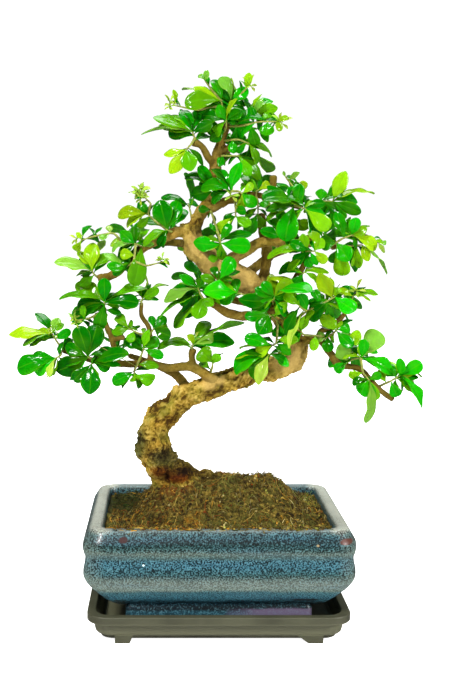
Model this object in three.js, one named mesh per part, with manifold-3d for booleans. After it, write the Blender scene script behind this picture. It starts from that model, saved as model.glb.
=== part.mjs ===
// A Fukien tea bonsai in a glazed rectangular pot, which stands on a moulded drip tray.
// Millimetres, +Z up, +X to the right and +Y away from the viewer.
// The pieces are built round the middle of the pot, and the finished tree is moved at the end, so that
// the origin lies under the middle of the whole thing, on the surface that it stands on.

import * as THREE from 'three';
import { mergeVertices } from 'three/addons/utils/BufferGeometryUtils.js';
import Module from 'manifold-3d';

const wasm = await Module();
wasm.setup();

// Driving dimensions

const CLEARANCE = 0.3;
const OVERSHOOT = 5;
const SEAM_TOLERANCE = 0.2;
const BARK_TOLERANCE = 0.35;
const TOLERANCE_TRIES = [1, 1.1, 1.2, 1.3, 1.4, 1.5, 0.9, 0.8];
const CORNER_STEPS = 3;

const POT = { width: 211, depth: 160, cornerRadius: 16, drainRadius: 8, drainOffset: 45 };
const POT_FLOOR = 37;
const FOOT_STRIP = { width: 146, depth: 13, cornerRadius: 4, setBack: 20, top: 30 };
const TRAY = { width: 206, depth: 148, cornerRadius: 17 };
const TRAY_FLOOR = 9;
const TRAY_FOOT = { outerX: 81, frontY: 67, width: 11.5, depth: 14, slants: [3, 10] };
const DRAIN_MESH = { side: 24, thickness: 1.2, holes: 2, hole: 6, pitch: 10 };
const SOIL_RINGS = [0.14, 0.34, 0.54, 0.74, 0.9];
const SOIL = {
  edgeHeight: 87, moundHeight: 29, ridge: [-34, 42], middle: [4, 2], reachX: 42, reachY: 70, flatTop: 0.08,
  sideSteps: 4,
};
const LEAF = { keel: 0.5, fold: 0.16, arch: 0.12, petiole: 0.45, slimness: 0.5 };
const TWIG_SIDES = 4;

// Walls of the pot and the tray as [height, how far inside the full outline]

const POT_INSIDE = [[POT_FLOOR, 38], [41, 28], [52, 19], [70, 16.5], [90, 14.8]];
const POT_OUTSIDE = [
  [91.8, 13.4], [92, 7.4], [90.6, 5.4], [87, 3.2], [82, 0.5], [77, 0], [73, 0.6], [69.4, 1.7],
  [65, 1.3], [59, 0.2], [54, 0.4], [50, 2], [45, 5.4], [40, 10.2], [34, 16.4], [29.5, 22], [27, 25.5],
];
const TRAY_INSIDE = [[TRAY_FLOOR, 13.2], [11, 10.4], [22, 7]];
const TRAY_OUTSIDE = [
  [23.3, 5.8], [23.3, 0.8], [22.6, 0], [17, 0], [15.6, 5], [10, 5.8], [7.6, 7.2], [6.3, 10],
  [3.9, 10.6], [3.9, 13.4], [6.3, 14],
];

// Solids

function solidOf(geometry) {
  const plain = geometry.clone();
  plain.deleteAttribute('normal');
  plain.deleteAttribute('uv');
  const merged = mergeVertices(plain, 1e-4);
  return new wasm.Manifold(new wasm.Mesh({
    numProp: 3,
    vertProperties: new Float32Array(merged.getAttribute('position').array),
    triVerts: new Uint32Array(merged.getIndex().array),
  }));
}

function geometryOf(solid) {
  const mesh = solid.getMesh();
  const geometry = new THREE.BufferGeometry();
  geometry.setAttribute('position', new THREE.BufferAttribute(mesh.vertProperties, 3));
  geometry.setIndex(new THREE.BufferAttribute(mesh.triVerts, 1));
  geometry.computeVertexNormals();
  return geometry;
}

// A closed skin over rings of points. Each ring runs anticlockwise as seen from the side where the
// skin starts, and a ring of one point closes the skin in a fan.
function skin(rings) {
  const positions = [];
  const starts = rings.map((ring) => {
    const start = positions.length / 3;
    ring.forEach((point) => positions.push(point.x, point.y, point.z));
    return start;
  });
  const index = [];
  for (let r = 0; r + 1 < rings.length; r += 1) {
    const count = Math.max(rings[r].length, rings[r + 1].length);
    for (let j = 0; j < count; j += 1) {
      const next = (j + 1) % count;
      const near = starts[r] + (rings[r].length === 1 ? 0 : j);
      const nearNext = starts[r] + (rings[r].length === 1 ? 0 : next);
      const far = starts[r + 1] + (rings[r + 1].length === 1 ? 0 : j);
      const farNext = starts[r + 1] + (rings[r + 1].length === 1 ? 0 : next);
      if (rings[r + 1].length > 1) index.push(near, far, farNext);
      if (rings[r].length > 1) index.push(near, farNext, nearNext);
    }
  }
  const geometry = new THREE.BufferGeometry();
  geometry.setAttribute('position', new THREE.Float32BufferAttribute(positions, 3));
  geometry.setIndex(index);
  return geometry;
}

const middleOf = (ring) => {
  const middle = new THREE.Vector3();
  ring.forEach((point) => middle.addScaledVector(point, 1 / ring.length));
  return middle;
};

const closedSkin = (rings) => skin([[middleOf(rings[0])], ...rings, [middleOf(rings[rings.length - 1])]]);

const box = (width, depth, height, x, y, z) => {
  const geometry = new THREE.BoxGeometry(width, depth, height);
  geometry.translate(x, y, z);
  return solidOf(geometry);
};

function joined(solids) {
  return solids.reduce((whole, solid) => whole.add(solid));
}

function largestBody(solid) {
  const bodies = solid.decompose();
  return bodies.reduce((best, body) => (body.volume() > best.volume() ? body : best));
}

// Fusing leaves slivers along each seam, and this drops those smaller than the tolerance
// How far apart the two nearest corners of a solid are
function cornerGap(solid) {
  const { vertProperties } = solid.getMesh();
  let gap = Infinity;
  for (let i = 0; i < vertProperties.length; i += 3) {
    for (let j = 0; j < i; j += 3) {
      const [x, y, z] = [0, 1, 2].map((axis) => vertProperties[i + axis] - vertProperties[j + axis]);
      gap = Math.min(gap, x * x + y * y + z * z);
    }
  }
  return Math.sqrt(gap);
}

// Merges the slivers that joining leaves, with the tolerance that keeps the corners farthest apart
function withoutSlivers(solid, tolerance = SEAM_TOLERANCE) {
  const whole = largestBody(solid).asOriginal();
  const tries = TOLERANCE_TRIES.map((share) => largestBody(whole.simplify(share * tolerance)));
  const gaps = tries.map(cornerGap);
  return tries[gaps.indexOf(Math.max(...gaps))];
}

// Rounded rectangles, anticlockwise as seen from above

function roundedRing(size, inset, heightAt, sideSteps = 1) {
  const halfX = size.width / 2 - inset;
  const halfY = size.depth / 2 - inset;
  const radius = Math.max(size.cornerRadius - inset * 0.6, 3);
  const corners = [[1, 1], [-1, 1], [-1, -1], [1, -1]];
  const arcs = corners.map(([sx, sy], corner) => {
    const arc = [];
    for (let step = 0; step <= CORNER_STEPS; step += 1) {
      const angle = (corner + step / CORNER_STEPS) * (Math.PI / 2);
      const x = sx * (halfX - radius) + radius * Math.cos(angle);
      const y = sy * (halfY - radius) + radius * Math.sin(angle);
      arc.push(new THREE.Vector3(x, y, heightAt(x, y)));
    }
    return arc;
  });
  return arcs.flatMap((arc, corner) => {
    const start = arc[CORNER_STEPS];
    const end = arcs[(corner + 1) % corners.length][0];
    for (let step = 1; step < sideSteps; step += 1) {
      const place = start.clone().lerp(end, step / sideSteps);
      arc.push(place.setZ(heightAt(place.x, place.y)));
    }
    return arc;
  });
}

const level = (size, [height, inset], sideSteps) => roundedRing(size, inset, () => height, sideSteps);

// Pot: ceramic shell with its foot strips and drain holes

function footStrip(side) {
  const y = side * (POT.depth / 2 - FOOT_STRIP.setBack - FOOT_STRIP.depth / 2);
  const steps = [[FOOT_STRIP.top, 3], [FOOT_STRIP.top - 4, 0], [TRAY_FLOOR + CLEARANCE, 0.8]];
  const geometry = closedSkin(steps.map((step) => level(FOOT_STRIP, step)));
  geometry.translate(0, y, 0);
  return solidOf(geometry);
}

function drainHole(x) {
  const geometry = new THREE.CylinderGeometry(POT.drainRadius, POT.drainRadius, 30, 20);
  geometry.rotateX(Math.PI / 2);
  geometry.translate(x, 0, POT_FLOOR - OVERSHOOT);
  return solidOf(geometry);
}

function potSolid() {
  const shell = solidOf(closedSkin([...POT_INSIDE, ...POT_OUTSIDE].map((step) => level(POT, step))));
  return withoutSlivers(shell.add(footStrip(-1)).add(footStrip(1))
    .subtract(drainHole(-POT.drainOffset)).subtract(drainHole(POT.drainOffset)));
}

// Drip tray: open moulding with a stepped lip and four feet

function trayFoot(signX, signY) {
  const slant = TRAY_FOOT.slants[signX < 0 ? 0 : 1];
  const inner = TRAY_FOOT.outerX - TRAY_FOOT.width;
  const top = TRAY_FLOOR - 1.5;
  const outline = [[inner, 0], [TRAY_FOOT.outerX, 0], [TRAY_FOOT.outerX, top], [inner - slant, top]];
  const shape = new THREE.Shape(outline.map(([x, z]) => new THREE.Vector2(signX * x, z)));
  const geometry = new THREE.ExtrudeGeometry(shape, { depth: TRAY_FOOT.depth, bevelEnabled: false });
  geometry.rotateX(Math.PI / 2);
  geometry.translate(0, signY < 0 ? TRAY_FOOT.depth - TRAY_FOOT.frontY : TRAY_FOOT.frontY, 0);
  return solidOf(geometry);
}

function traySolid() {
  const shell = solidOf(closedSkin([...TRAY_INSIDE, ...TRAY_OUTSIDE].map((step) => level(TRAY, step))));
  const feet = [[-1, -1], [1, -1], [-1, 1], [1, 1]].map(([x, y]) => trayFoot(x, y));
  return joined([shell, ...feet]);
}

// Drain meshes: squares of plastic net over the drain holes, under the soil

function drainMeshSolid(x) {
  const z = POT_FLOOR + CLEARANCE + DRAIN_MESH.thickness / 2;
  let plate = box(DRAIN_MESH.side, DRAIN_MESH.side, DRAIN_MESH.thickness, x, 0, z);
  const middle = (DRAIN_MESH.holes - 1) / 2;
  for (let i = 0; i < DRAIN_MESH.holes; i += 1) {
    for (let j = 0; j < DRAIN_MESH.holes; j += 1) {
      const holeX = x + (i - middle) * DRAIN_MESH.pitch;
      const holeY = (j - middle) * DRAIN_MESH.pitch;
      plate = plate.subtract(box(DRAIN_MESH.hole, DRAIN_MESH.hole, OVERSHOOT, holeX, holeY, z));
    }
  }
  return plate;
}

// Soil: fills the pot, and rises in a long fibrous mound under the trunk

function soilHeight(x, y) {
  const past = Math.max(SOIL.ridge[0] - x, x - SOIL.ridge[1], 0);
  const reach = Math.hypot(past / SOIL.reachX, (y - SOIL.middle[1]) / SOIL.reachY);
  const slope = THREE.MathUtils.smoothstep(reach, SOIL.flatTop, 1);
  const mound = SOIL.moundHeight * (1 - slope);
  const lumps = Math.sin(x * 0.19 + 1.3) * Math.sin(y * 0.23 + 0.4) + 0.7 * Math.sin(x * 0.43 - y * 0.31);
  return SOIL.edgeHeight + mound + lumps;
}

function soilSolid(trunkRoom) {
  const wallGap = CLEARANCE + 0.1;
  const edge = roundedRing(POT, 15.4 + wallGap, soilHeight, SOIL.sideSteps);
  const top = SOIL_RINGS.map((share) => edge.map((point) => {
    const x = SOIL.middle[0] + (point.x - SOIL.middle[0]) * share;
    const y = point.y * share;
    return new THREE.Vector3(x, y, soilHeight(x, y));
  }));
  const walls = [...POT_INSIDE].reverse().slice(1).map(([height, inset]) => (
    level(POT, [height + CLEARANCE, inset + wallGap], SOIL.sideSteps)
  ));
  const body = solidOf(closedSkin([...top, edge, ...walls]));
  const meshRoom = [-POT.drainOffset, POT.drainOffset].map((x) => {
    const side = DRAIN_MESH.side + 2 * CLEARANCE;
    const height = DRAIN_MESH.thickness + 2 * CLEARANCE;
    return box(side, side, 2 * height, x, 0, POT_FLOOR + CLEARANCE);
  });
  return withoutSlivers(body.subtract(joined(meshRoom)).subtract(trunkRoom));
}

// Places on the tree are given as they look from the viewer's eye, [x, z, depth]: x and z are where the
// line of sight meets the upright plane through the middle of the pot, counted from a point at
// EYE_LEVEL, and depth is how far behind that plane (or, below zero, in front of it) the place lies.

const EYE = new THREE.Vector3(-41.2, -875, 327);
const EYE_LEVEL = { x: -40, z: 309 };

function seen(x, z, depth) {
  const reach = (depth - EYE.y) / -EYE.y;
  return new THREE.Vector3(EYE.x + (x - EYE_LEVEL.x) * reach, depth, EYE.z + (z - EYE_LEVEL.z) * reach);
}

// Wood: each path is a list of [x, z, depth, radius]

const TRUNK_PATH = [
  [6, 60, 8, 12], [-2, 72, 6, 17], [-15, 84, 3, 19], [-29, 94, 0, 17.5], [-40, 103, -2, 15.5],
  [-46, 113, -4, 15], [-49, 125, -5, 14], [-49, 136, -4, 13.5], [-44, 148, -3, 12.5],
  [-35, 157, -2, 11.5], [-24, 165, 0, 11.5], [-10, 171, 2, 11], [5, 175.5, 4, 11], [20, 181, 6, 10.6],
  [38, 187, 8, 11], [53, 190, 9, 11.5], [63, 198, 8, 11.5], [65, 210, 4, 9.6], [58, 223, 0, 8],
  [49, 238, -3, 9], [36, 252, -4, 10], [22, 261, -4, 10.8], [8, 268, -3, 11], [-6, 276, -2, 11],
  [-16, 287, -1, 10.6], [-20, 298, 0, 9.6], [-21, 306, 0, 8.4],
];

const BRANCH_PATHS = {
  rootRight: [[-22, 90, 0, 13], [-6, 94, -3, 10], [12, 84, -8, 7], [30, 66, -12, 3]],
  rootFront: [[-22, 82, 0, 12], [-26, 72, -18, 7], [-26, 56, -34, 3]],
  rootBack: [[-18, 82, 4, 12], [-12, 74, 22, 7], [-4, 60, 40, 3]],
  rootLeft: [[-24, 80, 0, 11], [-42, 70, 4, 6], [-58, 56, 8, 3]],
  leader: [
    [-19, 296, 0, 8], [-14, 310, 2, 6], [-8, 322, 3, 5], [-3, 336, 3, 4.8], [-1, 348, 2, 5.8],
    [1, 362, 1, 4.2], [5, 375, 0, 3.8], [9, 385, -1, 3],
  ],
  leaderKnob: [[0, 352, 2, 3.4], [-5, 357, -2, 3.2], [-12, 368, -6, 2.8], [-18, 371, -9, 3.4]],
  leaderStub: [[3, 362, 1, 2.6], [12, 368, -2, 2.4]],
  highRight: [
    [-10, 316, 3, 4.4], [0, 320, -3, 3.9], [15, 327, -8, 3.3], [32, 329, -10, 2.8],
    [50, 324, -12, 2.4], [68, 319, -13, 2],
  ],
  highRightStub: [[44, 325, -12, 2.6], [46, 336, -13, 2.7], [46, 344, -13, 3.2]],
  right: [
    [6, 270, -3, 6], [16, 280, -7, 5.2], [25, 284, -9, 4.8], [34, 290, -10, 4.5], [45, 292, -9, 5.2],
    [60, 291, -7, 4], [75, 294, -6, 3.6], [88, 290, -8, 3], [97, 287, -10, 2.5],
  ],
  uprightStub: [
    [36, 254, -2, 4.6], [41, 275, 2, 4.5], [41, 287, 4, 4.6], [38, 300, 6, 4.1], [35, 313, 7, 4.8],
  ],
  innerRight: [
    [49, 236, -4, 4], [58, 250, -14, 3.2], [66, 264, -20, 2.7], [71, 272, -22, 2.5],
    [72, 281, -24, 2.2],
  ],
  left: [
    [-16, 294, 0, 6.4], [-28, 300, -4, 5.2], [-42, 295, -8, 4.8], [-57, 288, -10, 4.5],
    [-70, 275, -11, 4.2], [-85, 264, -11, 3.8], [-95, 261, -11, 4.6],
  ],
  lowLeft: [
    [2, 176, 0, 5], [-8, 184, -7, 4.5], [-20, 190, -9, 4.2], [-40, 189, -9, 3.7], [-55, 193, -8, 3.4],
    [-70, 192, -6, 3.1], [-85, 193, -4, 2.9], [-100, 195, -2, 2.6], [-112, 199, 0, 2.3], [-124, 203, 0, 2],
  ],
  lowLeftStub: [[-16, 188, -8, 3], [-19, 198, -9, 2.8], [-18, 204, -10, 3.2]],
  lowLeftRiser: [
    [-80, 193, -4, 2.7], [-82, 203, -7, 2.4], [-85, 215, -9, 2.3], [-90, 228, -10, 2.1],
    [-90, 238, -11, 1.8],
  ],
  lowLeftNub: [[-84, 212, -8, 1.8], [-74, 214, -8, 2.2]],
  midLeftRiser: [
    [-53, 193, -8, 2.5], [-53, 208, -11, 2.3], [-54, 222, -12, 2.1], [-60, 232, -12, 1.9],
    [-60, 242, -12, 1.7],
  ],
  midLeft: [
    [48, 240, -4, 5], [30, 232, -14, 4], [12, 233, -18, 3.8], [0, 240, -18, 3.2], [-10, 244, -18, 2.6],
  ],
  lowRight: [
    [63, 204, 6, 5.6], [76, 212, 0, 4.2], [86, 211, -4, 3.6], [94, 201, -8, 3.3], [101, 192, -10, 3.1],
    [118, 188, -11, 2.8], [126, 180, -12, 2.6], [136, 170, -12, 2.4], [146, 163, -11, 2.6],
  ],
  lowRightRiser: [[84, 211, -3, 2.7], [86, 219, -7, 2.5], [95, 222, -9, 3], [105, 233, -10, 1.9]],
  backRight: [
    [22, 262, -2, 5.4], [31, 270, 16, 4.4], [45, 280, 30, 3.7], [62, 287, 41, 3], [80, 290, 48, 2.3],
  ],
  backLeft: [[-16, 288, 0, 5.4], [-26, 290, 16, 4.2], [-42, 291, 29, 3.4], [-60, 286, 38, 2.6]],
  backBend: [[62, 212, 2, 4.8], [68, 222, 18, 4], [76, 231, 33, 3.2], [88, 236, 43, 2.4]],
  backLow: [[-22, 165, 0, 5.4], [-28, 180, 15, 4.2], [-46, 190, 28, 3.4], [-70, 199, 36, 2.5]],
  backMiddle: [[42, 246, -3, 4.8], [30, 242, 16, 4], [10, 246, 30, 3.2], [-6, 252, 40, 2.4]],
  backHigh: [[-8, 322, 3, 4], [6, 324, 17, 3.2], [26, 325, 30, 2.4]],
  backTop: [[-1, 350, 2, 3.4], [2, 358, 13, 2.8], [10, 362, 23, 2.1]],
};

// Leaves: each spray is a node of tufts. A tuft has the path of its green twig, which starts inside the
// wood or the twig that it grows from, and its leaves as [tip x, tip z, width as seen, depth past the
// twig]. Tufts at the back give a number of leaves instead, spread round the twig by the golden angle.

const SPRAYS = {
  apexLeft: [
    { twig: [[8, 383, -1], [6, 392, -5], [4, 403, -8]], leaves: [
      [-18, 414, 11], [-27, 412, 7], [-25, 401, 13], [-5, 391, 9, -8], [-16, 407, 9, 8], [-3, 420, 8, 6]] },
    { twig: [[6, 392, -5], [-16, 396, -8], [-34, 400, -10]], leaves: [
      [-41, 403, 5], [-41, 397, 3], [-34, 412, 3]] },
    { twig: [[4, 402, -8], [-4, 412, -6], [-9, 419, -6]], leaves: [[-14, 424, 5], [-7, 427, 5]] },
  ],
  apexRight: [
    { twig: [[9, 384, -1], [12, 392, -2], [11, 402, -2]], leaves: [
      [3, 415, 9], [25, 413, 11], [16, 412, 10], [4, 422, 5],
      [12, 420, 5], [26, 404, 10, 8], [-4, 408, 10, 12]] },
    { twig: [[11, 402, -2], [19, 408, -4], [24, 413, -5]], leaves: [[26, 425, 7], [31, 418, 4]] },
    { twig: [[12, 391, -2], [22, 390, -6], [30, 393, -8]], leaves: [
      [49, 398, 11], [51, 389, 12], [37, 404, 6], [36, 409, 5], [44, 404, 7, 8]] },
  ],
  apexShoot: [
    { twig: [[9, 383, -1], [22, 384, -14], [34, 387, -18], [48, 387, -20]], leaves: [
      [17, 368, 17], [40, 376, 13], [57, 391, 5], [57, 384, 5],
      [52, 380, 6], [32, 368, 10], [27, 399, 10, 6]] },
  ],
  apexHanging: [
    { twig: [[2, 372, 1], [18, 373, -10], [26, 370, -13]], leaves: [
      [34, 354, 9], [45, 360, 4], [14, 362, 9]] },
  ],
  apexFront: [
    { twig: [[6, 378, 0], [8, 384, -14], [8, 388, -18]], leaves: [
      [-8, 382, 12], [16, 405, 5], [-5, 372, 11], [21, 396, 11], [1, 400, 10], [-12, 392, 11, 8]] },
  ],
  apexSide: [
    { twig: [[-12, 368, -6], [-17, 374, -10], [-19, 379, -12]], leaves: [
      [-50, 391, 9], [-46, 384, 11], [-60, 377, 6], [-13, 397, 11], [-38, 392, 8, 8], [-3, 386, 11],
      [-26, 397, 10, 8]] },
    { twig: [[-14, 369, -8], [-20, 369, -14], [-24, 365, -17]], leaves: [
      [-42, 361, 8], [-37, 346, 13], [-20, 348, 15], [-4, 376, 10]] },
  ],
  neckRight: [
    { twig: [[1, 360, 2], [10, 360, -6], [18, 360, -10]], leaves: [
      [36, 341, 10], [27, 344, 9], [42, 348, 5], [2, 352, 8]] },
  ],
  neckFront: [
    { twig: [[-3, 334, 3], [2, 333, -12], [12, 332, -18]], leaves: [
      [-20, 329, 15], [-25, 343, 8], [-14, 352, 10], [-1, 343, 7], [20, 355, 11], [-14, 338, 11, 6]] },
    { twig: [[10, 332, -17], [18, 332, -19], [21, 330, -20]], leaves: [
      [20, 317, 9], [32, 320, 11], [30, 338, 7], [8, 322, 9]] },
  ],
  highMiddle: [
    { twig: [[15, 327, -8], [16, 319, -12], [16, 312, -14]], leaves: [
      [28, 305, 9], [0, 299, 10], [8, 309, 8], [24, 317, 8]] },
    { twig: [[32, 329, -10], [34, 322, -14], [34, 314, -15]], leaves: [
      [24, 297, 13], [38, 302, 9], [42, 322, 6]] },
    { twig: [[30, 329, -10], [32, 331, -15], [34, 333, -16]], leaves: [[43, 339, 7], [26, 341, 6]] },
  ],
  highRightInner: [
    { twig: [[60, 321, -13], [66, 320, -20], [72, 318, -23]], leaves: [
      [41, 336, 12], [38, 326, 10], [40, 317, 9], [40, 308, 8], [56, 292, 18], [80, 289, 14], [68, 338, 10],
      [92, 302, 13], [50, 339, 9, 8], [60, 336, 9, 8], [84, 312, 11, 12]] },
    { twig: [[66, 320, -20], [63, 334, -10], [56, 343, -10]], leaves: [
      [54, 348, 3], [67, 347, 5], [74, 338, 8]] },
  ],
  highRightOuter: [
    { twig: [[66, 319, -13], [80, 324, -8], [94, 324, -6]], leaves: [
      [104, 348, 14], [127, 331, 10], [117, 315, 11], [76, 316, 10], [85, 334, 11], [92, 304, 12, 6],
      [114, 324, 9, 8], [103, 308, 11, 10]] },
  ],
  rightTip: [
    { twig: [[93, 288, -10], [102, 294, -14], [110, 297, -15]], leaves: [
      [84, 290, 13], [108, 276, 17], [97, 316, 11], [122, 302, 10], [130, 286, 9], [124, 305, 6],
      [113, 311, 10], [92, 300, 11, 6]] },
    { twig: [[108, 297, -15], [122, 297, -14], [131, 291, -13]], leaves: [
      [136, 283, 5], [138, 291, 4], [126, 288, 7]] },
  ],
  rightTipLow: [
    { twig: [[94, 286, -10], [106, 288, -5], [118, 289, -4]], leaves: [
      [140, 266, 6], [104, 264, 14], [124, 276, 9], [94, 274, 10], [116, 270, 9, 8]] },
  ],
  rightInner: [
    { twig: [[72, 280, -24], [74, 284, -28], [80, 284, -30]], leaves: [
      [42, 278, 8], [58, 268, 8], [77, 271, 10], [60, 291, 9], [88, 293, 10], [90, 275, 8], [70, 298, 10]] },
  ],
  rightLow: [
    { twig: [[62, 258, -17], [68, 263, -24], [72, 267, -27]], leaves: [
      [92, 267, 5], [58, 255, 9], [44, 262, 7], [84, 259, 7]] },
  ],
  rightUpper: [
    { twig: [[52, 292, -8], [56, 298, -14], [58, 304, -16]], leaves: [
      [36, 301, 10], [66, 286, 10], [50, 316, 9], [76, 306, 10], [44, 309, 9]] },
  ],
  bendOuter: [
    { twig: [[60, 222, -2], [72, 234, -20], [88, 242, -26], [97, 247, -26]], leaves: [
      [84, 266, 15], [114, 236, 14], [80, 253, 8], [78, 231, 10], [60, 234, 10], [99, 255, 10],
      [68, 249, 9], [95, 230, 9], [90, 262, 9, 8]] },
    { twig: [[70, 232, -18], [70, 238, -26], [68, 240, -30]], leaves: [[60, 205, 9], [56, 249, 8]] },
  ],
  bendRight: [
    { twig: [[105, 233, -10], [110, 242, -12], [112, 248, -12]], leaves: [
      [115, 237, 6], [132, 250, 9], [126, 244, 4], [108, 256, 7], [98, 252, 6], [119, 258, 6]] },
  ],
  bendLow: [
    { twig: [[88, 212, -4], [96, 217, -14], [99, 220, -16]], leaves: [
      [112, 206, 11], [92, 202, 10], [110, 222, 9], [86, 232, 10], [82, 214, 9]] },
    { twig: [[76, 212, 0], [72, 216, -12], [70, 219, -16]], leaves: [
      [80, 203, 8], [62, 212, 9], [73, 231, 9]] },
  ],
  lowRightMiddle: [
    { twig: [[104, 191, -10], [112, 196, -16], [119, 197, -18]], leaves: [
      [134, 219, 18], [101, 208, 15], [98, 186, 9], [146, 184, 11], [122, 212, 8], [92, 194, 12, 8]] },
    { twig: [[117, 189, -12], [121, 185, -18], [126, 179, -20]], leaves: [
      [119, 167, 13], [125, 143, 10], [109, 182, 9], [136, 184, 8]] },
  ],
  lowRightTip: [
    { twig: [[133, 173, -12], [144, 178, -15], [152, 183, -15]], leaves: [
      [169, 193, 12], [169, 182, 4], [171, 155, 12], [150, 165, 10], [134, 188, 9], [152, 196, 9],
      [160, 170, 9], [163, 178, 8, 6]] },
  ],
  crownFront: [
    { twig: [[4, 270, -3], [3, 283, -18], [4, 292, -21]], leaves: [
      [-18, 291, 15], [28, 288, 13], [29, 298, 8], [12, 306, 8], [-6, 278, 8]] },
    { twig: [[-8, 320, 3], [-4, 317, -6], [-4, 315, -9]], leaves: [[-4, 302, 9], [-14, 318, 7]] },
  ],
  crownLow: [
    { twig: [[2, 258, -3], [2, 259, -20], [3, 261, -26]], leaves: [
      [14, 279, 13], [20, 268, 8], [-12, 264, 9]] },
  ],
  heartRight: [
    { twig: [[47, 240, -6], [47, 244, -18], [48, 247, -22]], leaves: [
      [19, 245, 14], [38, 259, 9], [46, 266, 10], [77, 252, 9], [67, 242, 10], [30, 234, 12], [60, 261, 9],
      [32, 254, 10, 8], [56, 236, 10, 8]] },
    { twig: [[40, 243, -14], [28, 248, -20], [18, 250, -22]], leaves: [
      [-9, 252, 12], [16, 262, 9], [4, 242, 10]] },
  ],
  heartLeft: [
    { twig: [[-8, 243, -18], [-12, 249, -20], [-14, 254, -20]], leaves: [
      [-34, 252, 8], [-42, 244, 6], [-46, 229, 8], [-35, 223, 6], [-15, 229, 14], [8, 234, 8],
      [-29, 265, 8], [-4, 264, 9], [-26, 238, 9, 8], [-2, 240, 10, 8]] },
  ],
  heartLow: [
    { twig: [[54, 224, -1], [48, 230, -18], [44, 232, -22]], leaves: [
      [35, 217, 17], [24, 231, 10], [58, 243, 10], [52, 214, 11, 6]] },
    { twig: [[56, 214, 4], [50, 209, -16], [46, 207, -20]], leaves: [
      [24, 214, 11], [36, 222, 8], [62, 200, 10], [68, 212, 10], [34, 200, 10]] },
  ],
  heartYellow: [
    { twig: [[50, 200, 0], [47, 200, -16], [44, 200, -20]], leaves: [
      [15, 187, 13], [35, 175, 11], [20, 205, 5], [16, 196, 7], [60, 190, 9]] },
  ],
  leftCrown: [
    { twig: [[-32, 299, -5], [-37, 300, -12], [-39, 301, -14]], leaves: [
      [-45, 325, 19], [-30, 324, 13], [-58, 289, 5], [-30, 311, 6], [-46, 288, 8]] },
    { twig: [[-42, 297, -8], [-50, 309, -8], [-55, 314, -8]], leaves: [
      [-79, 313, 11], [-63, 303, 8], [-60, 322, 7], [-72, 304, 8]] },
    { twig: [[-49, 308, -8], [-52, 322, -8], [-58, 328, -8]], leaves: [
      [-70, 331, 4], [-66, 336, 4], [-61, 337, 4], [-55, 334, 4], [-64, 323, 4]] },
  ],
  leftMiddle: [
    { twig: [[-58, 287, -10], [-62, 289, -18], [-65, 290, -20]], leaves: [
      [-77, 300, 11], [-66, 304, 12], [-56, 302, 9], [-66, 256, 15], [-75, 269, 10], [-84, 284, 4],
      [-50, 289, 5], [-54, 276, 9]] },
    { twig: [[-65, 290, -20], [-66, 276, -24], [-72, 271, -22]], leaves: [
      [-88, 272, 10], [-77, 282, 9], [-60, 264, 6], [-90, 282, 7]] },
    { twig: [[-66, 276, -24], [-56, 272, -22], [-44, 275, -22]], leaves: [
      [-41, 281, 3], [-37, 274, 3], [-46, 279, 3]] },
  ],
  leftShoots: [
    { twig: [[-66, 280, -10], [-82, 299, -13], [-98, 296, -14], [-108, 293, -14]], leaves: [
      [-113, 284, 8], [-118, 295, 4], [-112, 299, 4], [-86, 305, 7], [-90, 293, 8]] },
  ],
  leftTip: [
    { twig: [[-93, 261, -11], [-98, 265, -14], [-100, 268, -15]], leaves: [
      [-130, 276, 8], [-99, 291, 15], [-82, 281, 8], [-84, 271, 10], [-113, 264, 5], [-111, 284, 9, 8],
      [-110, 256, 10], [-90, 290, 7, 6]] },
  ],
  leftRiser: [
    { twig: [[-90, 234, -11], [-90, 239, -14], [-90, 243, -15]], leaves: [
      [-113, 259, 14], [-127, 245, 10], [-106, 238, 11], [-55, 254, 6], [-62, 242, 10], [-98, 226, 7],
      [-90, 262, 12], [-76, 233, 7], [-72, 248, 8, 6]] },
    { twig: [[-90, 227, -10], [-101, 230, -13], [-111, 228, -14]], leaves: [
      [-120, 232, 5], [-117, 222, 6], [-92, 225, 5], [-108, 240, 5]] },
  ],
  farLeft: [
    { twig: [[-122, 202, 0], [-128, 209, -3], [-133, 217, -4]], leaves: [
      [-168, 217, 10], [-127, 230, 10], [-157, 207, 7], [-143, 221, 5], [-142, 212, 6], [-118, 220, 8]] },
    { twig: [[-121, 202, 0], [-126, 199, -8], [-130, 197, -10]], leaves: [
      [-162, 188, 16], [-147, 184, 11], [-136, 182, 5], [-116, 212, 12, 8]] },
  ],
  farLeftInner: [
    { twig: [[-100, 195, -2], [-102, 197, -10], [-104, 198, -13]], leaves: [
      [-96, 224, 18], [-112, 223, 15], [-130, 186, 20], [-84, 205, 6], [-122, 208, 12, 6]] },
    { twig: [[-97, 194, -3], [-99, 193, -10], [-101, 192, -14]], leaves: [
      [-103, 167, 19], [-71, 201, 14], [-86, 188, 9], [-116, 178, 11, 8]] },
  ],
  lowLeftFront: [
    { twig: [[-62, 193, -8], [-60, 200, -13], [-58, 205, -15]], leaves: [
      [-74, 212, 10], [-46, 213, 10], [-42, 198, 8], [-66, 218, 8], [-54, 220, 8]] },
    { twig: [[-66, 192, -7], [-66, 187, -12], [-66, 184, -14]], leaves: [
      [-50, 178, 12], [-84, 177, 11], [-64, 178, 11], [-46, 190, 8]] },
  ],
  lowLeftRise: [
    { twig: [[-60, 239, -12], [-60, 243, -14], [-59, 246, -15]], leaves: [
      [-46, 254, 8], [-66, 256, 7], [-44, 234, 12], [-38, 257, 4], [-57, 265, 6], [-72, 246, 7]] },
  ],
  lowLeftSide: [
    { twig: [[-54, 214, -11], [-52, 218, -15], [-50, 221, -16]], leaves: [
      [-40, 231, 10], [-36, 215, 12], [-52, 232, 7]] },
    { twig: [[-53, 208, -11], [-62, 217, -15], [-70, 221, -16]], leaves: [
      [-80, 232, 9], [-84, 218, 8], [-58, 222, 5], [-70, 210, 8]] },
  ],
  stubSpray: [
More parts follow.
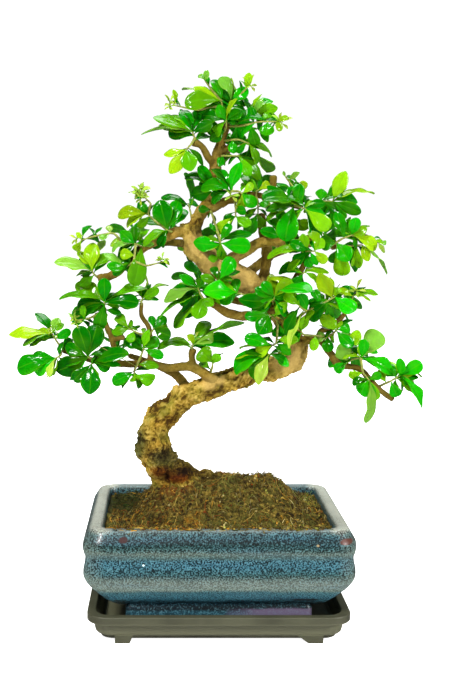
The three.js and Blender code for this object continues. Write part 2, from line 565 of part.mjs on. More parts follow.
    { twig: [[-18, 201, -9], [-19, 205, -12], [-18, 208, -13]], leaves: [
      [-47, 205, 7], [0, 216, 11], [23, 228, 6], [-38, 212, 7], [-14, 218, 4], [-22, 216, 4]] },
  ],
  trunkFront: [
    { twig: [[-4, 184, -4], [-2, 190, -14], [-2, 193, -16]], leaves: [
      [-13, 203, 15], [3, 200, 8], [-16, 190, 8]] },
  ],
  backTop: [{ twig: [[10, 362, 23], [12, 365, 26], [14, 368, 30]], count: 6 }],
  backApex: [{ twig: [[6, 378, 0], [7, 384, 8], [8, 388, 14]], count: 6 }],
  backHigh: [{ twig: [[26, 325, 30], [30, 327, 33], [33, 330, 37]], count: 6 }],
  backLeftShoulder: [{ twig: [[-18, 302, 2], [-20, 314, 14], [-22, 322, 22]], count: 5 }],
  backCrown: [{ twig: [[-14, 280, 2], [-12, 283, 18], [-12, 286, 26]], count: 6 }],
  backLeft: [{ twig: [[-60, 286, 38], [-63, 289, 41], [-66, 292, 45]], count: 7 }],
  backLeftInner: [{ twig: [[-34, 290, 22], [-37, 296, 30], [-38, 301, 36]], count: 5 }],
  backRight: [{ twig: [[80, 290, 48], [84, 293, 51], [88, 296, 54]], count: 7 }],
  backRightInner: [{ twig: [[46, 280, 30], [49, 286, 37], [50, 292, 42]], count: 6 }],
  backBend: [{ twig: [[88, 236, 43], [92, 238, 46], [95, 241, 50]], count: 7 }],
  backMiddle: [{ twig: [[-6, 252, 40], [-10, 254, 43], [-13, 257, 47]], count: 7 }],
  backMiddleRight: [{ twig: [[28, 242, 17], [32, 247, 27], [34, 251, 34]], count: 6 }],
  backLow: [{ twig: [[-70, 199, 36], [-75, 202, 39], [-79, 205, 43]], count: 7 }],
  backLowRight: [{ twig: [[104, 191, -9], [108, 198, 8], [112, 203, 20]], count: 5 }],
};

const GOLDEN_ANGLE = Math.PI * (3 - Math.sqrt(5));
const DEPTH_TRIES = [0, 7, -7, 14, -14, 20, -20, 26, -26];
const DEPTH_SWING = 8;
const TWIG_RADIUS = [1.25, 0.95];
const NODES_PER_SPAN = 6;
const BARE_STEPS = 3;
const UP = new THREE.Vector3(0, 0, 1);

// A small seeded generator, so that the draws are the same each time

function seededRandom(seed) {
  let state = seed;
  return () => {
    state = (state + 0x6d2b79f5) | 0;
    let mixed = Math.imul(state ^ (state >>> 15), 1 | state);
    mixed = (mixed + Math.imul(mixed ^ (mixed >>> 7), 61 | mixed)) ^ mixed;
    return ((mixed ^ (mixed >>> 14)) >>> 0) / 4294967296;
  };
}

// A round limb along a path of [x, z, depth, radius], with a domed far end. The bark's swellings are a
// share of the radius, and room is what is added all round to cut a clear seat for a neighbour.

function limb(path, sides, stepsPerPoint, swelling, room) {
  const points = path.map(([x, z, depth]) => seen(x, z, depth));
  const curve = new THREE.CatmullRomCurve3(points, false, 'centripetal');
  const spans = path.length - 1;
  const count = spans * stepsPerPoint;
  const rings = [];
  let across = null;
  for (let i = 0; i <= count; i += 1) {
    const share = i / count;
    const span = Math.min(Math.floor(share * spans), spans - 1);
    const within = share * spans - span;
    const radius = THREE.MathUtils.lerp(path[span][3], path[span + 1][3], within);
    const centre = curve.getPoint(share);
    const along = curve.getTangent(share);
    if (!across) across = new THREE.Vector3(0, 1, 0).cross(along).normalize();
    across.addScaledVector(along, -across.dot(along)).normalize();
    const other = across.clone().cross(along);
    const ring = [];
    for (let j = 0; j < sides; j += 1) {
      const angle = (j / sides) * Math.PI * 2;
      const reach = radius * (1 + swelling * barkSwelling(angle, share * spans)) + room;
      ring.push(centre.clone()
        .addScaledVector(across, reach * Math.cos(angle))
        .addScaledVector(other, reach * Math.sin(angle)));
    }
    rings.push(ring);
    if (i === 0) rings.unshift([centre.clone().addScaledVector(along, -room)]);
    if (i === count) rings.push([centre.clone().addScaledVector(along, radius * 0.3 + room)]);
  }
  return solidOf(skin(rings));
}

function barkSwelling(angle, along) {
  return 0.5 * Math.sin(3 * angle + along * 1.7) * Math.sin(along * 2.3 + 0.7)
    + 0.3 * Math.sin(5 * angle - along * 2.9 + 1.1) + 0.25 * Math.sin(along * 5.3 + 2 * angle);
}

function woodSolid(room) {
  const trunk = limb(TRUNK_PATH, 10, 1, 0.1, room);
  const branches = Object.values(BRANCH_PATHS).map((path) => (
    limb(path, path[0][3] > 4.9 ? 6 : 5, 1, 0.06, room)
  ));
  return joined([trunk, ...branches]);
}

// Twigs and leaves

// The places along a twig where leaves and side twigs start, past its bare foot
function nodesOf(twig) {
  const nodes = [];
  for (let i = 0; i + 1 < twig.length; i += 1) {
    for (let step = i === 0 ? BARE_STEPS : 1; step <= NODES_PER_SPAN; step += 1) {
      const share = step / NODES_PER_SPAN;
      nodes.push(twig[i].map((value, axis) => THREE.MathUtils.lerp(value, twig[i + 1][axis], share)));
    }
  }
  return nodes;
}

function nearest(places, gapTo) {
  return places.reduce((best, place) => (gapTo(place) < gapTo(best) ? place : best));
}

// The first twig of a spray starts in the wood, and each later one forks from those before it
function forked(tufts) {
  const grown = [tufts[0]];
  tufts.slice(1).forEach((tuft) => {
    const aim = tuft.twig[1];
    const forks = grown.flatMap(({ twig }) => nodesOf(twig));
    const fork = nearest(forks, (place) => Math.hypot(...place.map((value, axis) => value - aim[axis])));
    grown.push({ ...tuft, twig: [fork, ...tuft.twig.slice(1)] });
  });
  return grown;
}

const FORKED_SPRAYS = Object.entries(SPRAYS).map(([name, tufts]) => [name, forked(tufts)]);

const twigPoints = (tuft) => tuft.twig.map((place) => seen(...place));

function twigSolid(tuft) {
  const points = twigPoints(tuft);
  const curve = new THREE.CatmullRomCurve3(points, false, 'centripetal');
  const rings = [[points[0]]];
  const last = points.length - 1;
  for (let i = 0; i <= last; i += 1) {
    const along = curve.getTangent(i / last);
    const across = new THREE.Vector3(along.y, -along.x, 0.01).cross(along).normalize();
    const other = across.clone().cross(along);
    const radius = THREE.MathUtils.lerp(TWIG_RADIUS[0], TWIG_RADIUS[1], i / last);
    const ring = [];
    for (let j = 0; j < TWIG_SIDES; j += 1) {
      const angle = (j / TWIG_SIDES) * Math.PI * 2;
      ring.push(points[i].clone()
        .addScaledVector(across, radius * Math.cos(angle))
        .addScaledVector(other, radius * Math.sin(angle)));
    }
    rings.push(ring);
  }
  rings.push([points[last].clone().addScaledVector(curve.getTangent(1), 0.8)]);
  return solidOf(skin(rings));
}

// Every leaf of a tuft before it is bent clear: where it starts, its tip, its widths and its draw
function leavesOf(tuft, seed) {
  const random = seededRandom(seed);
  const points = twigPoints(tuft);
  const end = points[points.length - 1];
  const start = points[points.length - 2];
  const axis = end.clone().sub(start).normalize();
  const count = tuft.leaves ? tuft.leaves.length : tuft.count;
  const leaves = [];
  for (let i = 0; i < count; i += 1) {
    const draw = [random(), random(), random()];
    if (tuft.leaves) {
      const [x, z, width, past = 0] = tuft.leaves[i];
      const node = nearest(nodesOf(tuft.twig), (place) => Math.hypot(place[0] - x, place[1] - z));
      const depth = node[2] + past + DEPTH_SWING * Math.sin(2.4 * i + seed);
      leaves.push({ base: seen(...node), seenTip: [x, z, depth], width, draw, index: i });
    } else {
      const base = end.clone().lerp(start, (0.6 * i) / count);
      const turn = i * GOLDEN_ANGLE + seed;
      const lean = 0.75 + 0.5 * draw[0];
      const length = 19 + 8 * draw[1];
      const level = new THREE.Vector3(-axis.y, axis.x, 0).normalize();
      const rise = axis.clone().cross(level);
      const tip = base.clone()
        .addScaledVector(axis, length * Math.cos(lean))
        .addScaledVector(level, length * Math.sin(lean) * Math.cos(turn))
        .addScaledVector(rise, length * Math.sin(lean) * Math.sin(turn));
      leaves.push({ base, tip, width: 10 + 4 * draw[2], draw, index: i });
    }
  }
  return leaves;
}

// The blade's middle line, frame and width for one try at bending it clear
function poseOf(leaf, shift) {
  const tip = leaf.seenTip
    ? seen(leaf.seenTip[0], leaf.seenTip[1], leaf.seenTip[2] + shift)
    : leaf.tip.clone().add(new THREE.Vector3(0, shift * 0.6, 0));
  const chord = tip.clone().sub(leaf.base);
  const length = chord.length();
  const along = chord.clone().normalize();
  const outward = leaf.seenTip ? EYE.clone().sub(leaf.base).normalize() : UP.clone();
  const facing = outward.clone().addScaledVector(along, -outward.dot(along)).normalize();
  const upper = along.clone().cross(facing);
  const flip = Math.abs(upper.z) > 0.25 ? upper.z < 0 : leaf.index % 2 === 1;
  if (flip) upper.negate();
  const width = Math.max(leaf.width, LEAF.slimness * length * (0.85 + 0.3 * leaf.draw[0]));
  const cosine = leaf.seenTip ? leaf.width / width : 0.85;
  const normal = facing.multiplyScalar(cosine).addScaledVector(upper, Math.sqrt(1 - cosine * cosine));
  const arch = LEAF.arch * (0.6 + 0.9 * leaf.draw[1]);
  return { base: leaf.base, tip, along, normal, length, width, arch };
}

const BLADE_STATIONS = [[0, 0], [0.5, 0.92], [0.84, 0.86]];

function bladeSolid(pose, grow, firstStation) {
  const { base, along, normal, length, width, arch } = pose;
  const side = along.clone().cross(normal);
  const rings = BLADE_STATIONS.slice(firstStation).map(([share, widthShare]) => {
    const lift = arch * length * 4 * share * (1 - share);
    const slope = arch * 4 * (1 - 2 * share);
    const raised = normal.clone().addScaledVector(along, -slope).normalize();
    const centre = base.clone().addScaledVector(along, share * length).addScaledVector(normal, lift);
    const half = Math.max(widthShare * width * 0.5, LEAF.petiole) + grow;
    const keel = LEAF.keel + grow;
    const edgeRise = Math.max(LEAF.fold * half, LEAF.petiole / 2) + grow * 0.5;
    return [
      centre.clone().addScaledVector(side, half).addScaledVector(raised, edgeRise),
      centre.clone().addScaledVector(side, -half).addScaledVector(raised, edgeRise),
      centre.clone().addScaledVector(raised, -keel),
    ];
  });
  const end = pose.tip.clone().addScaledVector(along, grow);
  return solidOf(skin([[middleOf(rings[0])], ...rings, [end]]));
}

// Bending clear: the tip moves nearer or farther along the line of sight until the leaf, with some room
// round it, crosses nothing. A leaf that never clears is left off.

function crosses(solid, obstacles) {
  const own = solid.boundingBox();
  return obstacles.some((obstacle) => {
    for (let axis = 0; axis < 3; axis += 1) {
      if (own.max[axis] < obstacle.bounds.min[axis]) return false;
      if (own.min[axis] > obstacle.bounds.max[axis]) return false;
    }
    return solid.intersect(obstacle.solid).volume() > 1e-3;
  });
}

const obstacleOf = (solid) => ({ solid, bounds: solid.boundingBox() });

function growLeaves(twigs, wood, others) {
  const placed = new Map([...twigs.keys()].map((name) => [name, []]));
  const blades = [];
  FORKED_SPRAYS.forEach(([name, tufts], sprayIndex) => {
    tufts.forEach((tuft, tuftIndex) => {
      leavesOf(tuft, sprayIndex * 10 + tuftIndex).forEach((leaf) => {
        const obstacles = [wood, ...others];
        twigs.forEach((twig, owner) => {
          if (owner !== name) obstacles.push(twig);
        });
        for (const shift of DEPTH_TRIES) {
          const pose = poseOf(leaf, shift);
          const whole = bladeSolid(pose, CLEARANCE, 0);
          const outer = bladeSolid(pose, 0.1, 1);
          const nearby = blades.map((blade) => (blade.owner === name ? blade.outer : blade.whole));
          const clear = !crosses(outer, obstacles) && !crosses(outer, nearby)
            && !crosses(whole, blades.filter((blade) => blade.owner !== name).map((blade) => blade.whole));
          if (clear) {
            const thin = bladeSolid(pose, 0, 0);
            blades.push({ owner: name, whole: obstacleOf(thin), outer: obstacleOf(outer) });
            placed.get(name).push(thin);
            break;
          }
        }
      });
    });
  });
  return placed;
}

// The whole tree

const colours = {
  tray: [0x3d3f3a, 0.6],
  pot: [0x3d6d86, 0.15],
  mesh: [0x2a2c2b, 0.6],
  soil: [0x4b4126, 0.95],
  bark: [0x9a8050, 0.85],
  leaf: [0x2f8f2a, 0.35],
};

const group = new THREE.Group();

function addPiece(name, solid, [color, roughness]) {
  const material = new THREE.MeshStandardMaterial({ color, roughness, metalness: 0 });
  const mesh = new THREE.Mesh(geometryOf(solid), material);
  mesh.name = name;
  group.add(mesh);
}

const pot = potSolid();
const wood = withoutSlivers(woodSolid(0), BARK_TOLERANCE);
const woodRoom = woodSolid(CLEARANCE);
const soil = soilSolid(woodRoom);

addPiece('drip_tray', traySolid(), colours.tray);
addPiece('pot', pot, colours.pot);
addPiece('drain_mesh_left', drainMeshSolid(-POT.drainOffset), colours.mesh);
addPiece('drain_mesh_right', drainMeshSolid(POT.drainOffset), colours.mesh);
addPiece('soil', soil, colours.soil);
addPiece('trunk', wood, colours.bark);

const twigs = new Map(FORKED_SPRAYS.map(([name, tufts]) => [name, obstacleOf(joined(tufts.map(twigSolid)))]));
const leaves = growLeaves(twigs, obstacleOf(woodRoom), [obstacleOf(pot), obstacleOf(soil)]);
twigs.forEach((twig, name) => {
  const spray = joined([twig.solid, ...leaves.get(name)]).subtract(woodRoom);
  addPiece(`spray_${name}`, withoutSlivers(spray), colours.leaf);
});

const extent = new THREE.Box3().setFromObject(group);
group.position.set(-(extent.min.x + extent.max.x) / 2, -(extent.min.y + extent.max.y) / 2, -extent.min.z);

export default group;
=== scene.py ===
# %% [markdown]
# # A Fukien tea bonsai in its glazed pot
#
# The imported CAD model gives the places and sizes: a rectangular pot on a moulded tray, a bent trunk and
# 53 sprays of leaves. Here each of those solids gets the surface of the real thing. Everything is in
# metres, in the frame of the CAD, but lengths on the tree are worked out in millimetres, because that
# is how a grower or a potter would measure them.

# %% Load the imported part
import math
import bpy
import numpy as np
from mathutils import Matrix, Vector, noise


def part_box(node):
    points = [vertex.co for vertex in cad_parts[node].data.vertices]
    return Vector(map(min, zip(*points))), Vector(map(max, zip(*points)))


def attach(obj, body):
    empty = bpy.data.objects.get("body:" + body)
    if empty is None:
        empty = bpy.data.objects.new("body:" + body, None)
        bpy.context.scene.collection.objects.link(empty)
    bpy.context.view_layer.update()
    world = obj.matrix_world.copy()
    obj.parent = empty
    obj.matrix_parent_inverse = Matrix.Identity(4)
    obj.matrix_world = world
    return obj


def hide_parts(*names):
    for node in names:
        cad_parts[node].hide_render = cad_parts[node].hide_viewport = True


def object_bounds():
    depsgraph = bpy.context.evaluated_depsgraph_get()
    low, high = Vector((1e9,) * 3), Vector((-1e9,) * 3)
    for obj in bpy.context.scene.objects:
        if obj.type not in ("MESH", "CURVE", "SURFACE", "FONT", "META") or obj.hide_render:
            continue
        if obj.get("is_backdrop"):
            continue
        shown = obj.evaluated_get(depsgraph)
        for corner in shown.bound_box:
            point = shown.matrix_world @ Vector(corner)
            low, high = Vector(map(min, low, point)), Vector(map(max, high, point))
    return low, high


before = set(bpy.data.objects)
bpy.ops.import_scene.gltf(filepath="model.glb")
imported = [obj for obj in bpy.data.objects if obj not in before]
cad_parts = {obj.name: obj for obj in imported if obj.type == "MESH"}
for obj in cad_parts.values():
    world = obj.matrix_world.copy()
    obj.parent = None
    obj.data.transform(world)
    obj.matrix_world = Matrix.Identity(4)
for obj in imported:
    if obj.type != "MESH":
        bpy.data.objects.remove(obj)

MM = 0.001
CAD_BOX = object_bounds()
POT_LOW, POT_HIGH = (Vector(corner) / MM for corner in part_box("pot"))
TREE_SHIFT = (POT_LOW.x + POT_HIGH.x) / 2
print(f"pot {POT_HIGH.x - POT_LOW.x:.1f} mm wide, its middle at x = {TREE_SHIFT:.2f} mm")

# %% [markdown]
# ## Camera
#
# The photograph looks a little down on the pot from about 0.9 m away. A camera that is tilted by six
# degrees, with the frame shifted a little to the side, shows the pot's rim, the soil and the tray at
# the same heights as the photograph does. A shift moves the picture without turning the camera. The eye
# is kept as a value in millimetres, because the lines of sight from it place the branches later on.

# %% Place the camera
EYE = np.array((-41.2, -875.0, 327.0))
TILT_DOWN = 6.26

lens_data = bpy.data.cameras.new("photo_camera")
lens_data.lens = 57.43
lens_data.sensor_width = 36
lens_data.shift_x = 0.0871
camera = bpy.data.objects.new("photo_camera", lens_data)
camera.location = (EYE + (TREE_SHIFT, 0, 0)) * MM
camera.rotation_euler = (math.radians(90 - TILT_DOWN), 0, 0)
bpy.context.scene.collection.objects.link(camera)
bpy.context.scene.camera = camera
print("camera at", [round(value, 4) for value in camera.location], "m")

# %% [markdown]
# ## Lamps
#
# The tree stands in white light, as in a catalogue photograph. Two small square lamps, one high on the
# left in front and one on the right, draw the bright streaks on the waxy leaves, and a wide one
# overhead fills the shade. Area lamps are used because a bare point of light would leave hard shadows.

# %% Hang the lamps
LAMPS = {
    "key_lamp": {"place": (-0.9, -1.2, 1.5), "size": 0.3, "power": 50},
    "fill_lamp": {"place": (1.3, -0.9, 0.8), "size": 0.3, "power": 25},
    "top_lamp": {"place": (0.1, 0.3, 1.7), "size": 0.9, "power": 30},
}
AIM = Vector((0, 0, 0.2))

for name, lamp in LAMPS.items():
    data = bpy.data.lights.new(name, "AREA")
    data.shape = "SQUARE"
    data.size = lamp["size"]
    data.energy = lamp["power"]
    hung = bpy.data.objects.new(name, data)
    hung.location = lamp["place"]
    hung.rotation_euler = (AIM - Vector(lamp["place"])).to_track_quat("-Z", "Y").to_euler()
    bpy.context.scene.collection.objects.link(hung)
print(len(LAMPS), "lamps,", sum(lamp["power"] for lamp in LAMPS.values()), "W in all")

# %% [markdown]
# ## Sky
#
# The lens sees plain white all round. The tree itself gets less light than that: dim from in front and
# more from behind, as between a dark room and a lit backdrop, and less again in its gloss. Otherwise
# the greens and blues would wash out. The kind of ray tells which of the three a ray gets.

# %% Paint the sky
def linear(colour):
    """An sRGB hex value as linear red, green, blue and alpha."""
    shares = [int(colour[i:i + 2], 16) / 255 for i in (1, 3, 5)]
    return [s / 12.92 if s <= 0.04045 else ((s + 0.055) / 1.055) ** 2.4 for s in shares] + [1.0]


def fill(tree, node, inputs):
    """Sets the inputs of a node, or links them to other nodes. A node stands for its first output."""
    for name, value in inputs.items():
        if isinstance(value, bpy.types.Node):
            value = value.outputs[0]
        if isinstance(value, bpy.types.NodeSocket):
            tree.links.new(value, node.inputs[name])
        else:
            node.inputs[name].default_value = value


def add(tree, kind, inputs=None, stops=None, **settings):
    """Adds a shader node with its settings, its values or links, and the stops of a colour ramp."""
    node = tree.nodes.new("ShaderNode" + kind)
    for name, value in settings.items():
        setattr(node, name, value)
    fill(tree, node, inputs or {})
    for i, (place, colour) in enumerate(stops or []):
        stop = node.color_ramp.elements[i] if i < 2 else node.color_ramp.elements.new(place)
        stop.position = place
        stop.color = linear(colour) if isinstance(colour, str) else [colour] * 3 + [1]
    return node


WHITE_FOR_LENS = 1.05
LIGHT_IN_FRONT = 0.07
LIGHT_BEHIND = 0.3
SHARE_IN_GLOSS = 0.35

world = bpy.data.worlds.new("white_studio")
world.use_nodes = True
tree = world.node_tree
axes = add(tree, "SeparateXYZ", {0: add(tree, "TexCoord").outputs["Generated"]}).outputs
behind = add(tree, "MapRange", {"Value": axes[1], "From Min": -0.6, "From Max": 0.6,
                                "To Min": LIGHT_IN_FRONT, "To Max": LIGHT_BEHIND})
rays = add(tree, "LightPath").outputs
mirrored = add(tree, "Math", {0: behind, 1: SHARE_IN_GLOSS}, operation="MULTIPLY")
dimmed = add(tree, "Mix", {0: rays["Is Glossy Ray"], 2: behind, 3: mirrored})
shown = add(tree, "Mix", {0: rays["Is Camera Ray"], 2: dimmed, 3: WHITE_FOR_LENS})
fill(tree, tree.nodes["Background"], {"Strength": shown, "Color": (1, 1, 1, 1)})
bpy.context.scene.world = world
bpy.context.scene.view_settings.view_transform = "Standard"
print("sky of", len(tree.nodes), "nodes")

# %% [markdown]
# ## Floor
#
# The tree stands on white paper that goes on behind it without an edge. In such a photograph the paper
# is bleached out, so it shines by itself for the lens. It also throws a little light up under the
# leaves and the tray. In the gloss of wax and glaze it is dark, or its mirror image would hide them.

# %% Lay the floor
def material_named(name):
    """A new material, its node tree and its main shader."""
    material = bpy.data.materials.new(name)
    material.use_nodes = True
    return material, material.node_tree, material.node_tree.nodes["Principled BSDF"]


def mesh_object(name, points, faces, material=None, smooth=True):
    """An object from points in millimetres, as the CAD's source counts them."""
    mesh = bpy.data.meshes.new(name)
    placed = (np.asarray(points, float) + (TREE_SHIFT, 0, 0)) * MM
    mesh.from_pydata(placed.tolist(), [], [[int(corner) for corner in face] for face in faces])
    mesh.update()
    mesh.polygons.foreach_set("use_smooth", [smooth] * len(mesh.polygons))
    if material:
        mesh.materials.append(material)
    made = bpy.data.objects.new(name, mesh)
    bpy.context.scene.collection.objects.link(made)
    return made


SHINE_FOR_LENS = 1.0
SHINE_UPWARDS = 0.4
FLOOR_CORNERS = [(-6000, -3000, 0), (6000, -3000, 0), (6000, 9000, 0), (-6000, 9000, 0)]

floor_paper, tree, shader = material_named("white_studio_paper")
pulp = add(tree, "TexNoise", {"Scale": 900.0, "Detail": 3.0})
tone = add(tree, "ValToRGB", {"Fac": pulp}, [(0.3, "#f8f8f7"), (0.7, "#fdfdfc")])
rays = add(tree, "LightPath").outputs
seen_tone = add(tree, "Mix", {0: rays["Is Glossy Ray"], 6: tone, 7: linear("#4c4c4c")},
                data_type="RGBA").outputs[2]
bounce = add(tree, "Mix", {0: rays["Is Glossy Ray"], 2: SHINE_UPWARDS, 3: 0.0})
bleached = add(tree, "Mix", {0: rays["Is Camera Ray"], 2: bounce, 3: SHINE_FOR_LENS})
fill(tree, shader, {"Base Color": seen_tone, "Roughness": 0.9, "Specular IOR Level": 0.1,
                    "Emission Color": (1, 1, 1, 1), "Emission Strength": bleached})
floor = mesh_object("floor", FLOOR_CORNERS, [(0, 1, 2, 3)], floor_paper)
floor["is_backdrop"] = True
print("floor", [round(side) for side in floor.dimensions], "m")

# %% [markdown]
# ## Pot: the shape
#
# A slab of clay was pressed into a mould, so every level of the pot is a rounded rectangle. The shape is
# a loft: a list of heights, each with how far it lies inside the widest outline, swept round the
# corners. The CAD model has the same list with few points. Here a smooth curve runs through them, so
# that the two swelling bands catch the light as one soft streak each.

# %% Rounded lofts
POT = {"width": 211, "depth": 160, "corner": 16}
TRAY = {"width": 206, "depth": 148, "corner": 17}
FOOT_STRIP = {"width": 146, "depth": 13, "corner": 4}
TIGHTEST_CORNER = 3


def rounded_ring(size, inset, height, corner_steps, side_steps=1):
    """A rounded rectangle, anticlockwise as seen from above."""
    half = np.array((size["width"] / 2 - inset, size["depth"] / 2 - inset))
    radius = max(size["corner"] - inset * 0.6, TIGHTEST_CORNER)
    arcs = []
    for corner, sign in enumerate(((1, 1), (-1, 1), (-1, -1), (1, -1))):
        angles = (corner + np.arange(corner_steps + 1) / corner_steps) * math.pi / 2
        arcs.append(sign * (half - radius) + radius * np.stack([np.cos(angles), np.sin(angles)], 1))
    ring = []
    for corner, arc in enumerate(arcs):
        after = arcs[(corner + 1) % 4][0]
        shares = np.arange(1, side_steps)[:, None] / side_steps
        ring.append(np.vstack([arc, arc[-1] + (after - arc[-1]) * shares]))
    flat = np.vstack(ring)
    return np.column_stack([flat, np.full(len(flat), height)])


def curve_through(points, steps):
    """Points on a smooth curve through the given ones, bent with the roots of their spacings."""
    points = np.asarray(points, float)
    ends = np.vstack([2 * points[0] - points[1], points, 2 * points[-1] - points[-2]])
    smooth = []
    for a, b, c, d in zip(ends, ends[1:], ends[2:], ends[3:]):
        near, gap, far = (max(np.linalg.norm(q - p), 1e-6) ** 0.5 for p, q in ((a, b), (b, c), (c, d)))
        start = gap * ((b - a) / near - (c - a) / (near + gap) + (c - b) / gap)
        end = gap * ((c - b) / gap - (d - b) / (gap + far) + (d - c) / far)
        for t in np.arange(steps) / steps:
            smooth.append(b + start * t + (3 * (c - b) - 2 * start - end) * t ** 2
                          + (2 * (b - c) + start + end) * t ** 3)
    return np.array(smooth + [points[-1]])


def loft(rings):
    """Points and faces of a closed skin over rings of one length, with a fan over each end."""
    count = len(rings[0])
    points = [ring.mean(0, keepdims=True) for ring in (rings[0], rings[-1])] + rings
    faces = []
    for r in range(len(rings)):
        here = 2 + r * count
        for j in range(count):
            k = (j + 1) % count
            if r == 0:
                faces.append((0, here + j, here + k))
            if r + 1 < len(rings):
                faces.append((here + j, here + count + j, here + count + k, here + k))
            else:
                faces.append((1, here + k, here + j))
    return np.vstack(points), faces


def joined(parts):
    """Several lists of points and faces as one."""
    points, faces, start = [], [], 0
    for more_points, more_faces in parts:
        points.append(np.asarray(more_points))
        faces += [tuple(start + i for i in face) for face in more_faces]
        start += len(more_points)
    return np.vstack(points), faces


one_ring = rounded_ring(POT, 0, 77, 14, 24)
print("widest ring of the pot:", len(one_ring), "points,", one_ring[:, 0].max() * 2, "mm wide")

# %% Shape the pot
# Levels as height and inset, inside from the floor up and outside from the rim down
POT_INSIDE = [(37, 38), (41, 28), (52, 19), (70, 16.5), (90, 14.8)]
POT_OUTSIDE = [
    (91.8, 13.4), (92, 7.4), (90.6, 5.4), (87, 3.2), (82, 0.5), (77, 0), (73, 0.6), (69.4, 1.7),
    (65, 1.3), (59, 0.2), (54, 0.4), (50, 2), (45, 5.4), (40, 10.2), (34, 16.4), (29.5, 22), (27, 25.5),
]
STRIP_LEVELS = [(30, 3), (26, 0), (10.3, 0), (9.3, 0.8)]
STRIP_MIDDLE = 53.5

pot_profile = np.vstack([curve_through(POT_INSIDE + POT_OUTSIDE[:1], 3)[:-1],
                         curve_through(POT_OUTSIDE, 4)])
pot_shell = loft([rounded_ring(POT, inset, height, 14, 24) for height, inset in pot_profile])
strips = []
for side in (-1, 1):
    strip_points, strip_faces = loft([rounded_ring(FOOT_STRIP, inset, height, 5)
                                      for height, inset in STRIP_LEVELS])
    strips.append((strip_points + (0, side * STRIP_MIDDLE, 0), strip_faces))
pot = mesh_object("glazed_pot", *pot_shell)
feet = mesh_object("pot_foot_strips", *joined(strips))
print("pot", round(pot.dimensions.x / MM, 1), "mm wide and", round(pot.dimensions.z / MM, 1), "mm high")

# %% [markdown]
# ## Drain holes
#
# Two round holes let the water out. They were punched through the wet clay, so a boolean cut with two
# upright drills is closest to how they were made. Its result is applied, and the drills are deleted.

# %% Punch the drain holes
DRAIN_MIDDLES = (-45, 45)
DRAIN_RADIUS = 8
DRAIN_HEIGHT = 32
DRILL_REACH = 15


def with_holes(piece, middles, radius, height):
    """Cuts upright round holes through a piece."""
    angles = np.arange(40) / 40 * 2 * math.pi
    circle = np.column_stack([np.cos(angles), np.sin(angles), np.zeros(40)]) * radius
    drills = joined([loft([circle + (x, 0, height + DRILL_REACH), circle + (x, 0, height - DRILL_REACH)])
                     for x in middles])
    drill = mesh_object("drill", *drills)
    cut = piece.modifiers.new("holes", "BOOLEAN")
    cut.object = drill
    cut.solver = "EXACT"
    made = bpy.data.meshes.new_from_object(piece.evaluated_get(bpy.context.evaluated_depsgraph_get()))
    piece.modifiers.clear()
    piece.data = made
    bpy.data.objects.remove(drill)


with_holes(pot, DRAIN_MIDDLES, DRAIN_RADIUS, DRAIN_HEIGHT)
print("pot faces", len(pot.data.polygons))

# %% [markdown]
# ## Tray: the shape
#
# The drip tray came out of an injection mould: thin walls, crisp edges and a stepped lip that keeps it
# stiff. It is a loft like the pot, but with straight steps in its profile and flat faces, because the
# edges of moulded plastic are sharp. Four small feet with slanted inner sides stand under it.

# %% Shape the tray
TRAY_INSIDE = [(9, 13.2), (9.3, 12.2), (11, 10.4), (22, 7), (23, 6.6)]
TRAY_OUTSIDE = [
    (23.3, 6), (23.3, 0.9), (23.1, 0.3), (22.5, 0), (17.4, 0), (17, 0.3), (15.7, 4.6), (15.3, 5), (10, 5.8),
    (7.6, 6.4), (6.3, 7.6), (5.5, 9.4), (5.4, 10.2), (3, 10.6), (3, 13.4), (5.4, 14),
]
# The inner and outer side of a foot along x and y, and its height; then the slant on the left and right
FOOT_X = (69.5, 81)
FOOT_Y = (53, 67)
FOOT_TOP = 7.5
FOOT_SLANTS = ((-1, 3), (1, 10))

tray_shell = loft([rounded_ring(TRAY, inset, height, 12, 4)
                   for height, inset in TRAY_INSIDE + TRAY_OUTSIDE])
tray_feet = []
for sign_x, slant in FOOT_SLANTS:
    for sign_y in (-1, 1):
        corners = [(FOOT_X[0], 0), (FOOT_X[1], 0), (FOOT_X[1], FOOT_TOP), (FOOT_X[0] - slant, FOOT_TOP)]
        ends = [np.array([(sign_x * x, sign_y * y, z) for x, z in corners]) for y in FOOT_Y]
        tray_feet.append(loft(ends if sign_x * sign_y < 0 else ends[::-1]))
tray = mesh_object("drip_tray_moulding", *joined([tray_shell] + tray_feet), smooth=False)
print("tray", round(tray.dimensions.x / MM, 1), "mm wide on", len(tray_feet), "feet")

# %% [markdown]
# ## Soil
#
# Bonsai soil here is a fibrous, peaty mix that was mounded up over the roots and pressed into the pot.
# The surface repeats the rule of the CAD's mound on a finer grid, and noise at the size of crumbs
# breaks it up. It is a real relief and not a bump, because the mound is seen against the white paper.

# %% The height of the soil
SOIL_INSET = 15.8
SOIL_EDGE = 87
MOUND = {"height": 29, "ridge": (-34, 42), "middle_y": 2, "reach_x": 42, "reach_y": 70, "flat_top": 0.08}
# The litter lies on the rim in front of this line, on the rim's own profile
LITTER_LINE = -64.5
RIM_INSETS = (5.4, 7.4, 13.4, 15.5)
RIM_HEIGHTS = (90.6, 92, 91.8, 90.6)


